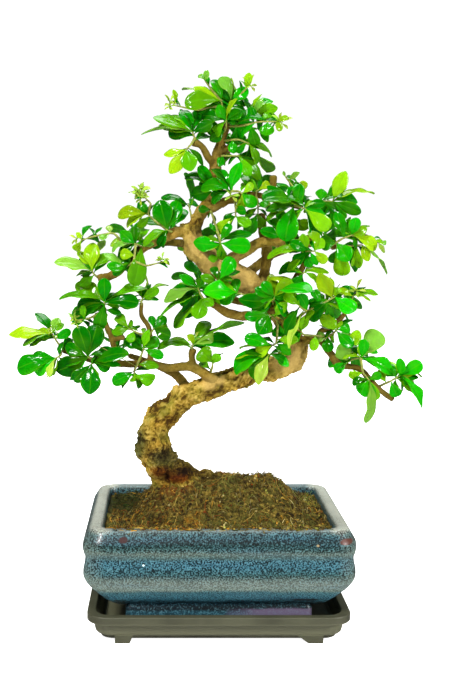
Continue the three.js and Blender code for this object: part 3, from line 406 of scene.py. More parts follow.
def soil_height(x, y):
    """A long mound under the trunk that falls to the rim, with a heap in front and one over a root."""
    start, end = MOUND["ridge"]
    past = np.maximum(np.maximum(start - x, x - end), 0)
    reach = np.hypot(past / MOUND["reach_x"], (y - MOUND["middle_y"]) / MOUND["reach_y"])
    t = np.clip((reach - MOUND["flat_top"]) / (1 - MOUND["flat_top"]), 0, 1)
    lumps = np.sin(x * 0.19 + 1.3) * np.sin(y * 0.23 + 0.4) + 0.7 * np.sin(x * 0.43 - y * 0.31)
    heap = 4 * np.clip((-46 - y) / 17, 0, 1) ** 2
    over_root = 4 * np.exp(-((x - 6) / 12) ** 2 - ((y + 8) / 14) ** 2)
    return SOIL_EDGE + MOUND["height"] * (1 - t * t * (3 - 2 * t)) + lumps + heap + over_root


def crumb(x, y):
    """The relief of crumbs, from 8 mm clods down to 1.6 mm grains."""
    clods = noise.turbulence((x / 8, y / 8, 3), 3, False)
    grains = noise.noise((x / 1.6, y / 1.6, 7))
    return 3.0 * (clods - 0.5) + 0.7 * grains


def on_soil(x, y):
    """The height of the soil, or of the litter that lies over the pot's rim at the front."""
    if y > LITTER_LINE:
        return float(soil_height(x, y)) + crumb(x, y)
    rim = float(np.interp(POT["depth"] / 2 + y, RIM_INSETS, RIM_HEIGHTS))
    return rim + 0.5 + 0.3 * crumb(x, y)


print(f"soil {on_soil(0, 0):.1f} mm high in the middle and {on_soil(85, 0):.1f} mm at the right rim")

# %% Shape the soil
SOIL_MIDDLE_X = 6

soil_edge = rounded_ring(POT, SOIL_INSET, SOIL_EDGE, 12, 36)
soil_rings = []
for share in np.linspace(0.01, 1, 84):
    ring = soil_edge.copy()
    ring[:, 0] = SOIL_MIDDLE_X + (ring[:, 0] - SOIL_MIDDLE_X) * share
    ring[:, 1] *= share
    ring[:, 2] = [on_soil(x, y) for x, y in ring[:, :2]]
    soil_rings.append(ring)
soil_walls = [rounded_ring(POT, inset + 0.4, height + 0.3, 12, 36)
              for height, inset in reversed(POT_INSIDE[:-1])]
# Litter over the front rim: a thin sheet with a ragged edge
spill_x = np.arange(-86, 86.1, 1.1)
spill_rows = []
for share in np.linspace(0, 1, 8):
    reach = 9.4 + 1.6 * np.array([noise.noise((x / 4, 3.3, 1)) for x in spill_x])
    reach = 0.5 + reach * np.clip((87 - abs(spill_x)) / 12, 0, 1) ** 0.5
    row_y = LITTER_LINE - 0.1 - reach * share
    row_z = [on_soil(x, y) - (0.9 if share == 1 else 0) for x, y in zip(spill_x, row_y)]
    spill_rows.append(np.column_stack([spill_x, row_y, row_z]))
count = len(spill_x)
spill_faces = [(r * count + i, (r + 1) * count + i, (r + 1) * count + i + 1, r * count + i + 1)
               for r in range(len(spill_rows) - 1) for i in range(count - 1)]
soil_parts = [loft(soil_rings + soil_walls), (np.vstack(spill_rows), spill_faces)]
soil = mesh_object("peaty_soil", *joined(soil_parts))
print("soil faces", len(soil.data.polygons))

# %% [markdown]
# ## Litter: the colours
#
# Peat, bark, dead moss and bits of root lie on the soil in tufts, each of one colour. One material can
# show them all if every fibre and crumb carries a colour of its own. Which one it gets depends on
# where it lies: rustier round the roots on the left, wet and green in the corner at the back on the
# left, with an ochre tuft in front of the trunk and a few fresh green bits on the right.

# %% Colours of the litter
rng = np.random.default_rng(7)
# The share of each colour in the litter, and how much more of it lies on the left, round the roots
LITTER = [("#332810", 0.2, 0.1), ("#5f4c1c", 0.26, 0), ("#68682a", 0.22, -0.12), ("#8c7634", 0.18, 0.04),
          ("#a97a22", 0.05, 0.08), ("#7d3c10", 0.03, 0.08), ("#a39660", 0.04, -0.02)]
OCHRE, FRESH, WET = "#a87c24", "#7f9a2a", "#26380e"


def litter_colour(x, y):
    """A colour for a fibre or crumb at a place."""
    left = min(max((10 - x) / 50, 0), 1)
    shares = np.array([max(share + more * left, 0) for _, share, more in LITTER])
    colour = LITTER[int(rng.choice(len(LITTER), p=shares / shares.sum()))][0]
    # Tufts of 3 to 6 mm lie light against dark ones
    tuft = noise.noise((x / 6, y / 6, 11)) + 0.6 * noise.noise((x / 3, y / 3, 5))
    shade = np.array(linear(colour)) * rng.uniform(0.7, 1.3) * math.exp(1.3 * tuft)
    if rng.random() < 0.7 * math.exp(-((x + 20) / 8) ** 2 - ((y + 50) / 8) ** 2):
        shade = np.array(linear(OCHRE)) * rng.uniform(0.5, 1.3)
    if x > 60 and y > 5 and rng.random() < 0.12:
        shade = np.array(linear(FRESH)) * rng.uniform(0.6, 1.2)
    damp = float(np.clip((-52 - x) / 14, 0, 1) * np.clip((y + 14) / 20, 0, 1))
    return shade * (1 - 0.85 * damp) + np.array(linear(WET)) * rng.uniform(0.2, 1.2) * damp


def coloured(name, pieces, smooth):
    """One object of many small meshes, each with a colour of its own."""
    made = mesh_object(name, *joined([piece for piece, _ in pieces]), smooth=smooth)
    colours = np.vstack([np.repeat([colour], len(piece[0]), axis=0) for piece, colour in pieces])
    layer = made.data.attributes.new("litter_colour", "FLOAT_COLOR", "POINT")
    layer.data.foreach_set("color", colours.astype(np.float32).ravel())
    return made


print(len(LITTER), "colours of litter")

# %% [markdown]
# ## Litter: the fibres and crumbs
#
# Thousands of coarse fibres and crumbs lie on the mound as small closed meshes. Hair curves would be
# lighter, but they would be lost when the part is exported, so each fibre is a tapered tube with three
# sides, and each crumb is a rough lump of six.

# %% Scatter fibres and crumbs
SHARE_ON_RIM = 0.09
FIBRE_COUNT, CURL_COUNT, ROOT_COUNT, CRUMB_COUNT = 2600, 2600, 260, 3000


def place_on_soil():
    """A random place inside the rounded edge of the soil, or now and then on the front rim."""
    if rng.random() < SHARE_ON_RIM:
        return rng.uniform(-82, 82), rng.uniform(-73, -63)
    while True:
        x, y = rng.uniform(-88, 88), rng.uniform(-63, 62)
        if np.hypot(max(abs(x) - 76, 0), max(abs(y) - 51, 0)) < 11:
            return x, y


def frames_along(path, guide):
    """Unit vectors at each point of a path: along it, across it and the guide, and across both."""
    along = np.gradient(path, axis=0)
    along /= np.linalg.norm(along, axis=1, keepdims=True)
    across = np.cross(along, guide)
    across /= np.linalg.norm(across, axis=1, keepdims=True)
    return along, across, np.cross(along, across)


def strand(path, radius, sides=3):
    """A thin closed tube along a path, tapered at both ends."""
    _, across, other = frames_along(np.asarray(path), (0.1, 0.2, 1))
    taper = 1 - 0.75 * np.abs(np.linspace(-1, 1, len(path))) ** 3
    angles = np.arange(sides)[:, None] / sides * 2 * math.pi
    rings = [centre + radius * share * (a * np.cos(angles) + b * np.sin(angles))
             for centre, a, b, share in zip(path, across, other, taper)]
    return loft(rings)


def fibre(shortest, longest, height, stout=1.0, bends=6):
    """A bent fibre that lies on the soil or curls up from it, 0.3 to 0.8 mm thick."""
    x, y = place_on_soil()
    colour = litter_colour(x, y)
    heading, length = rng.uniform(0, 2 * math.pi), shortest + (longest - shortest) * rng.random() ** 3
    hop, path = rng.uniform(-0.2, height), []
    for step in range(bends):
        rise = hop * math.sin(math.pi * step / bends)
        path.append((x, y, on_soil(x, y) + 0.15 + rise))
        heading += rng.normal(0, 0.55)
        x = float(np.clip(x + length / (bends - 1) * math.cos(heading), -88, 88))
        y = float(np.clip(y + length / (bends - 1) * math.sin(heading), -73.5, 62.5))
    return strand(path, stout * rng.uniform(0.14, 0.32)), colour * stout


def crumb_lump():
    """A rough lump of peat, 0.5 to 3.4 mm across."""
    x, y = place_on_soil()
    size = 0.3 + 1.1 * rng.random() ** 3
    rings = [np.array([(math.cos(a) * r, math.sin(a) * r, z) for a in np.arange(6) * math.pi / 3])
             for r, z in ((0.55, -0.7), (1, 0), (0.6, 0.7))][::-1]
    lump = loft([ring * size * rng.uniform(0.75, 1.2, (6, 1)) + (x, y, on_soil(x, y) + size * 0.3)
                 for ring in rings])
    return lump, litter_colour(x, y)


# Strands that lie flat, short ones that curl up, and a few stout roots
fibres = coloured("soil_fibres", [fibre(3, 18, 1.6) for _ in range(FIBRE_COUNT)]
                  + [fibre(2, 5, 4.5, bends=4) for _ in range(CURL_COUNT)]
                  + [fibre(9, 24, 3, 1.2) for _ in range(ROOT_COUNT)], True)
crumbs = coloured("soil_crumbs", [crumb_lump() for _ in range(CRUMB_COUNT)], False)
print("fibre faces", len(fibres.data.polygons), "crumb faces", len(crumbs.data.polygons))

# %% [markdown]
# ## Trunk and branches: the paths
#
# Where the wood runs was read off the photograph. Each point has the place where the line of sight
# meets the upright plane through the middle of the pot, how far behind that plane the wood lies, and
# its radius. Listed like this, a branch stays where the photograph shows it, whatever depth it gets.

# %% Paths of the wood
# The eye in the coordinates of the lists, which have a zero of their own
EYE_LISTED = (-40, 309)


def seen(x, z, depth):
    """A place on the tree, in millimetres, from how it looks from the eye and how deep it lies."""
    reach = (depth - EYE[1]) / -EYE[1]
    return np.array((EYE[0] + (x - EYE_LISTED[0]) * reach, depth, EYE[2] + (z - EYE_LISTED[1]) * reach))


TRUNK_PATH = [
    (6, 60, 8, 12), (-2, 72, 6, 17), (-15, 84, 3, 19), (-29, 94, 0, 17.5), (-40, 103, -2, 15.5),
    (-46, 113, -4, 15), (-49, 125, -5, 14), (-49, 136, -4, 13.5), (-44, 148, -3, 12.5),
    (-35, 157, -2, 11.5), (-24, 165, 0, 11.5), (-10, 171, 2, 11), (5, 175.5, 4, 11), (20, 181, 6, 10.6),
    (38, 187, 8, 11), (53, 190, 9, 11.5), (63, 198, 8, 11.5), (65, 210, 4, 9.6), (58, 223, 0, 8),
    (49, 238, -3, 9), (36, 252, -4, 10), (22, 261, -4, 10.8), (8, 268, -3, 11), (-6, 276, -2, 11),
    (-16, 287, -1, 10.6), (-20, 298, 0, 9.6), (-21, 306, 0, 8.4),
]
BRANCH_PATHS = {
    "rootRight": [(-22, 90, 0, 13), (-6, 94, -3, 10), (12, 84, -8, 7), (30, 66, -12, 3)],
    "rootFront": [(-22, 82, 0, 12), (-26, 72, -18, 7), (-26, 56, -34, 3)],
    "rootBack": [(-18, 82, 4, 12), (-12, 74, 22, 7), (-4, 60, 40, 3)],
    "rootLeft": [(-24, 80, 0, 11), (-42, 70, 4, 6), (-58, 56, 8, 3)],
    "leader": [(-19, 296, 0, 8), (-14, 310, 2, 6), (-8, 322, 3, 5), (-3, 336, 3, 4.8), (-1, 348, 2, 5.8),
        (1, 362, 1, 4.2), (5, 375, 0, 3.8), (9, 385, -1, 3)],
    "leaderKnob": [(0, 352, 2, 3.4), (-5, 357, -2, 3.2), (-12, 368, -6, 2.8), (-18, 371, -9, 3.4)],
    "leaderStub": [(3, 362, 1, 2.6), (12, 368, -2, 2.4)],
    "highRight": [(-10, 316, 3, 4.4), (0, 320, -3, 3.9), (15, 327, -8, 3.3), (32, 329, -10, 2.8),
        (50, 324, -12, 2.4), (68, 319, -13, 2)],
    "highRightStub": [(44, 325, -12, 2.6), (46, 336, -13, 2.7), (46, 344, -13, 3.2)],
    "right": [(6, 270, -3, 6), (16, 280, -7, 5.2), (25, 284, -9, 4.8), (34, 290, -10, 4.5),
        (45, 292, -9, 5.2), (60, 291, -7, 4), (75, 294, -6, 3.6), (88, 290, -8, 3), (97, 287, -10, 2.5)],
    "uprightStub": [(36, 254, -2, 4.6), (41, 275, 2, 4.5), (41, 287, 4, 4.6), (38, 300, 6, 4.1),
        (35, 313, 7, 4.8)],
    "innerRight": [(49, 236, -4, 4), (58, 250, -14, 3.2), (66, 264, -20, 2.7), (71, 272, -22, 2.5),
        (72, 281, -24, 2.2)],
    "left": [(-16, 294, 0, 6.4), (-28, 300, -4, 5.2), (-42, 295, -8, 4.8), (-57, 288, -10, 4.5),
        (-70, 275, -11, 4.2), (-85, 264, -11, 3.8), (-95, 261, -11, 4.6)],
    "lowLeft": [(2, 176, 0, 5), (-8, 184, -7, 4.5), (-20, 190, -9, 4.2), (-40, 189, -9, 3.7),
        (-55, 193, -8, 3.4), (-70, 192, -6, 3.1), (-85, 193, -4, 2.9), (-100, 195, -2, 2.6),
        (-112, 199, 0, 2.3), (-124, 203, 0, 2)],
    "lowLeftStub": [(-16, 188, -8, 3), (-19, 198, -9, 2.8), (-18, 204, -10, 3.2)],
    "lowLeftRiser": [(-80, 193, -4, 2.7), (-82, 203, -7, 2.4), (-85, 215, -9, 2.3), (-90, 228, -10, 2.1),
        (-90, 238, -11, 1.8)],
    "lowLeftNub": [(-84, 212, -8, 1.8), (-74, 214, -8, 2.2)],
    "midLeftRiser": [(-53, 193, -8, 2.5), (-53, 208, -11, 2.3), (-54, 222, -12, 2.1),
        (-60, 232, -12, 1.9), (-60, 242, -12, 1.7)],
    "midLeft": [(48, 240, -4, 5), (30, 232, -14, 4), (12, 233, -18, 3.8), (0, 240, -18, 3.2),
        (-10, 244, -18, 2.6)],
    "lowRight": [(63, 204, 6, 5.6), (76, 212, 0, 4.2), (86, 211, -4, 3.6), (94, 201, -8, 3.3),
        (101, 192, -10, 3.1), (118, 188, -11, 2.8), (126, 180, -12, 2.6), (136, 170, -12, 2.4),
        (146, 163, -11, 2.6)],
    "lowRightRiser": [(84, 211, -3, 2.7), (86, 219, -7, 2.5), (95, 222, -9, 3), (105, 233, -10, 1.9)],
    "backRight": [(22, 262, -2, 5.4), (31, 270, 16, 4.4), (45, 280, 30, 3.7), (62, 287, 41, 3),
        (80, 290, 48, 2.3)],
    "backLeft": [(-16, 288, 0, 5.4), (-26, 290, 16, 4.2), (-42, 291, 29, 3.4), (-60, 286, 38, 2.6)],
    "backBend": [(62, 212, 2, 4.8), (68, 222, 18, 4), (76, 231, 33, 3.2), (88, 236, 43, 2.4)],
    "backLow": [(-22, 165, 0, 5.4), (-28, 180, 15, 4.2), (-46, 190, 28, 3.4), (-70, 199, 36, 2.5)],
    "backMiddle": [(42, 246, -3, 4.8), (30, 242, 16, 4), (10, 246, 30, 3.2), (-6, 252, 40, 2.4)],
    "backHigh": [(-8, 322, 3, 4), (6, 324, 17, 3.2), (26, 325, 30, 2.4)],
    "backTop": [(-1, 350, 2, 3.4), (2, 358, 13, 2.8), (10, 362, 23, 2.1)],
}
print(len(TRUNK_PATH), "points on the trunk,", len(BRANCH_PATHS), "branches, stubs and roots")

# %% [markdown]
# ## Trunk and branches: the skin
#
# Tubes are swept along smooth curves through the points, with the same slow swellings as the CAD, and
# a voxel remesh melts them into one skin, as the joints of a living branch are. A boolean union would
# leave a sharp crease at every fork. Voxels of a millimetre are just fine enough for the cork.

# %% Sweep the limbs
VOXEL = 1.0


def bark_swelling(angle, along):
    """Slow swellings round a limb and along it, as in the CAD."""
    return (0.5 * np.sin(3 * angle + along * 1.7) * np.sin(along * 2.3 + 0.7)
            + 0.3 * np.sin(5 * angle - along * 2.9 + 1.1) + 0.25 * np.sin(along * 5.3 + 2 * angle))


def line_of(path, steps):
    """Points on the smooth curve of a limb, and the radius at each of them."""
    centres = curve_through([seen(*point[:3]) for point in path], steps)
    radii = np.interp(np.arange(len(centres)) / steps, np.arange(len(path)), [point[3] for point in path])
    return centres, radii


def limb(path, sides, steps, swelling):
    """A tube along a path of (x, z, depth, radius), domed at its far end."""
    centres, radii = line_of(path, steps)
    along = np.gradient(centres, axis=0)
    along /= np.linalg.norm(along, axis=1, keepdims=True)
    across = np.cross((0, 1, 0), along[0])
    angles = np.arange(sides) / sides * 2 * math.pi
    rings = []
    for i, (centre, radius, ahead) in enumerate(zip(centres, radii, along)):
        across = across - ahead * across.dot(ahead)
        across /= np.linalg.norm(across)
        other = np.cross(across, ahead)
        reach = radius * (1 + swelling * bark_swelling(angles, i / steps))[:, None]
        rings.append(centre + reach * (np.cos(angles)[:, None] * across + np.sin(angles)[:, None] * other))
    last, ahead = rings[-1], along[-1]
    middle = last.mean(0)
    for share, out in ((0.8, 0.16), (0.45, 0.27), (0.1, 0.32)):
        rings.append(middle + (last - middle) * share + ahead * out * radii[-1])
    return loft(rings)


wood_tubes = [limb(TRUNK_PATH, sides=28, steps=6, swelling=0.1)]
wood_tubes += [limb(path, sides=14, steps=5, swelling=0.06) for path in BRANCH_PATHS.values()]
wood = mesh_object("corky_wood", *joined(wood_tubes))
melt = wood.modifiers.new("melt", "REMESH")
melt.mode = "VOXEL"
melt.voxel_size = VOXEL * MM
melt.use_smooth_shade = True
melted = bpy.data.meshes.new_from_object(wood.evaluated_get(bpy.context.evaluated_depsgraph_get()))
wood.modifiers.clear()
wood.data = melted
print("wood faces", len(melted.polygons))

# %% [markdown]
# ## Bark: the relief
#
# The cork of an old Fukien tea stands in lumps and curls with pits between them, and old wounds have
# healed over as knobs. Noise moves the skin in and out along its normals. It is done on the mesh, so
# that the knobs show in the outline too. Thin twigs and the places where a branch was cut stay smooth.

# %% Raise the bark
STEPS_PER_SPAN = 8
CHUNK = 4000
CURL_SEED = 1795622729
# Knobs and hollows that the photograph shows: x, z, depth, reach and height
KNOBS = [
    (-63, 128, -4, 10, 4.2), (-60, 117, -4, 5, 2.0), (-52, 163, -4, 7, 4.6), (-33, 168, -4, 5, 2.0),
    (-38, 150, -13, 7, 2.2), (-22, 149, -6, 5, 2.4), (-8, 158, -4, 5, 1.8), (-40, 163, -8, 3.5, -2.2),
    (20, 172, -4, 5, 1.6), (52, 180, 0, 6, 1.6), (-36, 118, -10, 6, 1.6), (-59, 145, -2, 6, -3.0),
    (-30, 140, -4, 4, 1.6), (-57, 109, -2, 7, -3.2), (-20, 113, -4, 9, 2.6),
]
# Smooth stretches where the cork never grew or was cut away: x, z, depth and reach
SMOOTH_STRETCHES = [
    (-4, 176, -8, 6.5), (4, 179, -6, 5), (36, 254, -6, 11), (24, 262, -6, 15), (10, 270, -6, 15),
    (-3, 278, -6, 15), (-13, 288, -6, 13), (60, 196, -2, 15),
]
KNOB_PLACES = [(Vector(seen(*knob[:3])), *knob[3:]) for knob in KNOBS]
SMOOTH_PLACES = [(Vector(seen(*stretch[:3])), stretch[3]) for stretch in SMOOTH_STRETCHES]
limb_lines = [line_of(path, STEPS_PER_SPAN) for path in [TRUNK_PATH] + list(BRANCH_PATHS.values())]
path_points, path_radii = (np.concatenate(parts) for parts in zip(*limb_lines))


def girth_at(places):
    """The radius of the wood near each place, in millimetres."""
    girth = np.empty(len(places))
    for start in range(0, len(places), CHUNK):
        part = places[start:start + CHUNK]
        gap = np.linalg.norm(part[:, None] - path_points[None], axis=2) - path_radii[None]
        girth[start:start + CHUNK] = path_radii[gap.argmin(1)]
    return girth


def bark_relief(place, girth):
    """How far the bark stands out in millimetres, how light its cork is, and how smooth the place."""
    smooth = max(math.exp(-((place - spot).length / reach) ** 4) for spot, reach in SMOOTH_PLACES)
    weight = min(max((girth - 2) / 8, 0), 1)
    rough = weight * (1 - 0.85 * smooth)
    lumps = noise.turbulence(place / 13, 3, False) - 0.55
    warped = place / 3.8 + noise.noise_vector(place / 6) * 0.7
    curl = 1 - min(abs(noise.noise(warped)) * 4, 1)
    pit = max(noise.noise(place / 2.9 + Vector((9, 2, 5))) - 0.12, 0) * 3
    grains = noise.noise(place / 1.3)
    knobs = sum(height * math.exp(-((place - knob).length / reach) ** 2)
                for knob, reach, height in KNOB_PLACES)
    warts = noise.noise(place / 5.2 + Vector((3, 8, 1)))
    height = (3.2 * rough * lumps + rough * (1.3 * warts + 0.9 * curl - 0.6 * pit)
              + (0.1 + 0.3 * rough) * grains + knobs)
    # Darker in the pits and lighter on the curls and lumps: partly the cork's own colour, partly painted
    # shade
    cork = 0.24 * (curl - 0.45) - 0.22 * pit + 0.34 * lumps + 0.16 * warts
    light = 0.5 + (0.25 + 0.75 * rough) * cork + 0.14 * grains
    return height, light, smooth


def vectors_of(vertices, name):
    """Places or normals of all vertices, a row for each."""
    values = np.empty(len(vertices) * 3)
    vertices.foreach_get(name, values)
    return values.reshape(-1, 3)


# Without a seed, noise_vector takes an offset from the clock, and the curls would move from run to run
noise.seed_set(CURL_SEED)
skin = vectors_of(melted.vertices, "co") / MM
skin_normals = vectors_of(melted.vertices, "normal")
skin_places = skin - (TREE_SHIFT, 0, 0)
skin_girth = girth_at(skin_places)
relief, lightness, smoothness = np.array([bark_relief(Vector(place), girth)
                                          for place, girth in zip(skin_places, skin_girth)]).T
melted.vertices.foreach_set("co", ((skin + skin_normals * relief[:, None]) * MM).ravel())
melted.update()
bark_values = melted.attributes.new("bark", "FLOAT_VECTOR", "POINT")
bark_values.data.foreach_set("vector", np.column_stack([skin_girth, lightness, smoothness]).ravel())
print(f"bark relief from {relief.min():.1f} to {relief.max():.1f} mm")

# %% [markdown]
# ## Leaves: where they are
#
# A Fukien tea leaf is a small waxy spatula: narrow at the foot, widest past its middle and round at the
# tip, 12 to 35 mm long. Every leaf that can be told apart in the photograph is listed with its tip, the
# width that it shows and a letter for its colour, from D for the darkest green to l for a lime bud and
# p for a pale underside. A fourth number tells how far its tip lies behind the twig. At the back, where
# the photograph shows nothing, only the number of leaves is given.

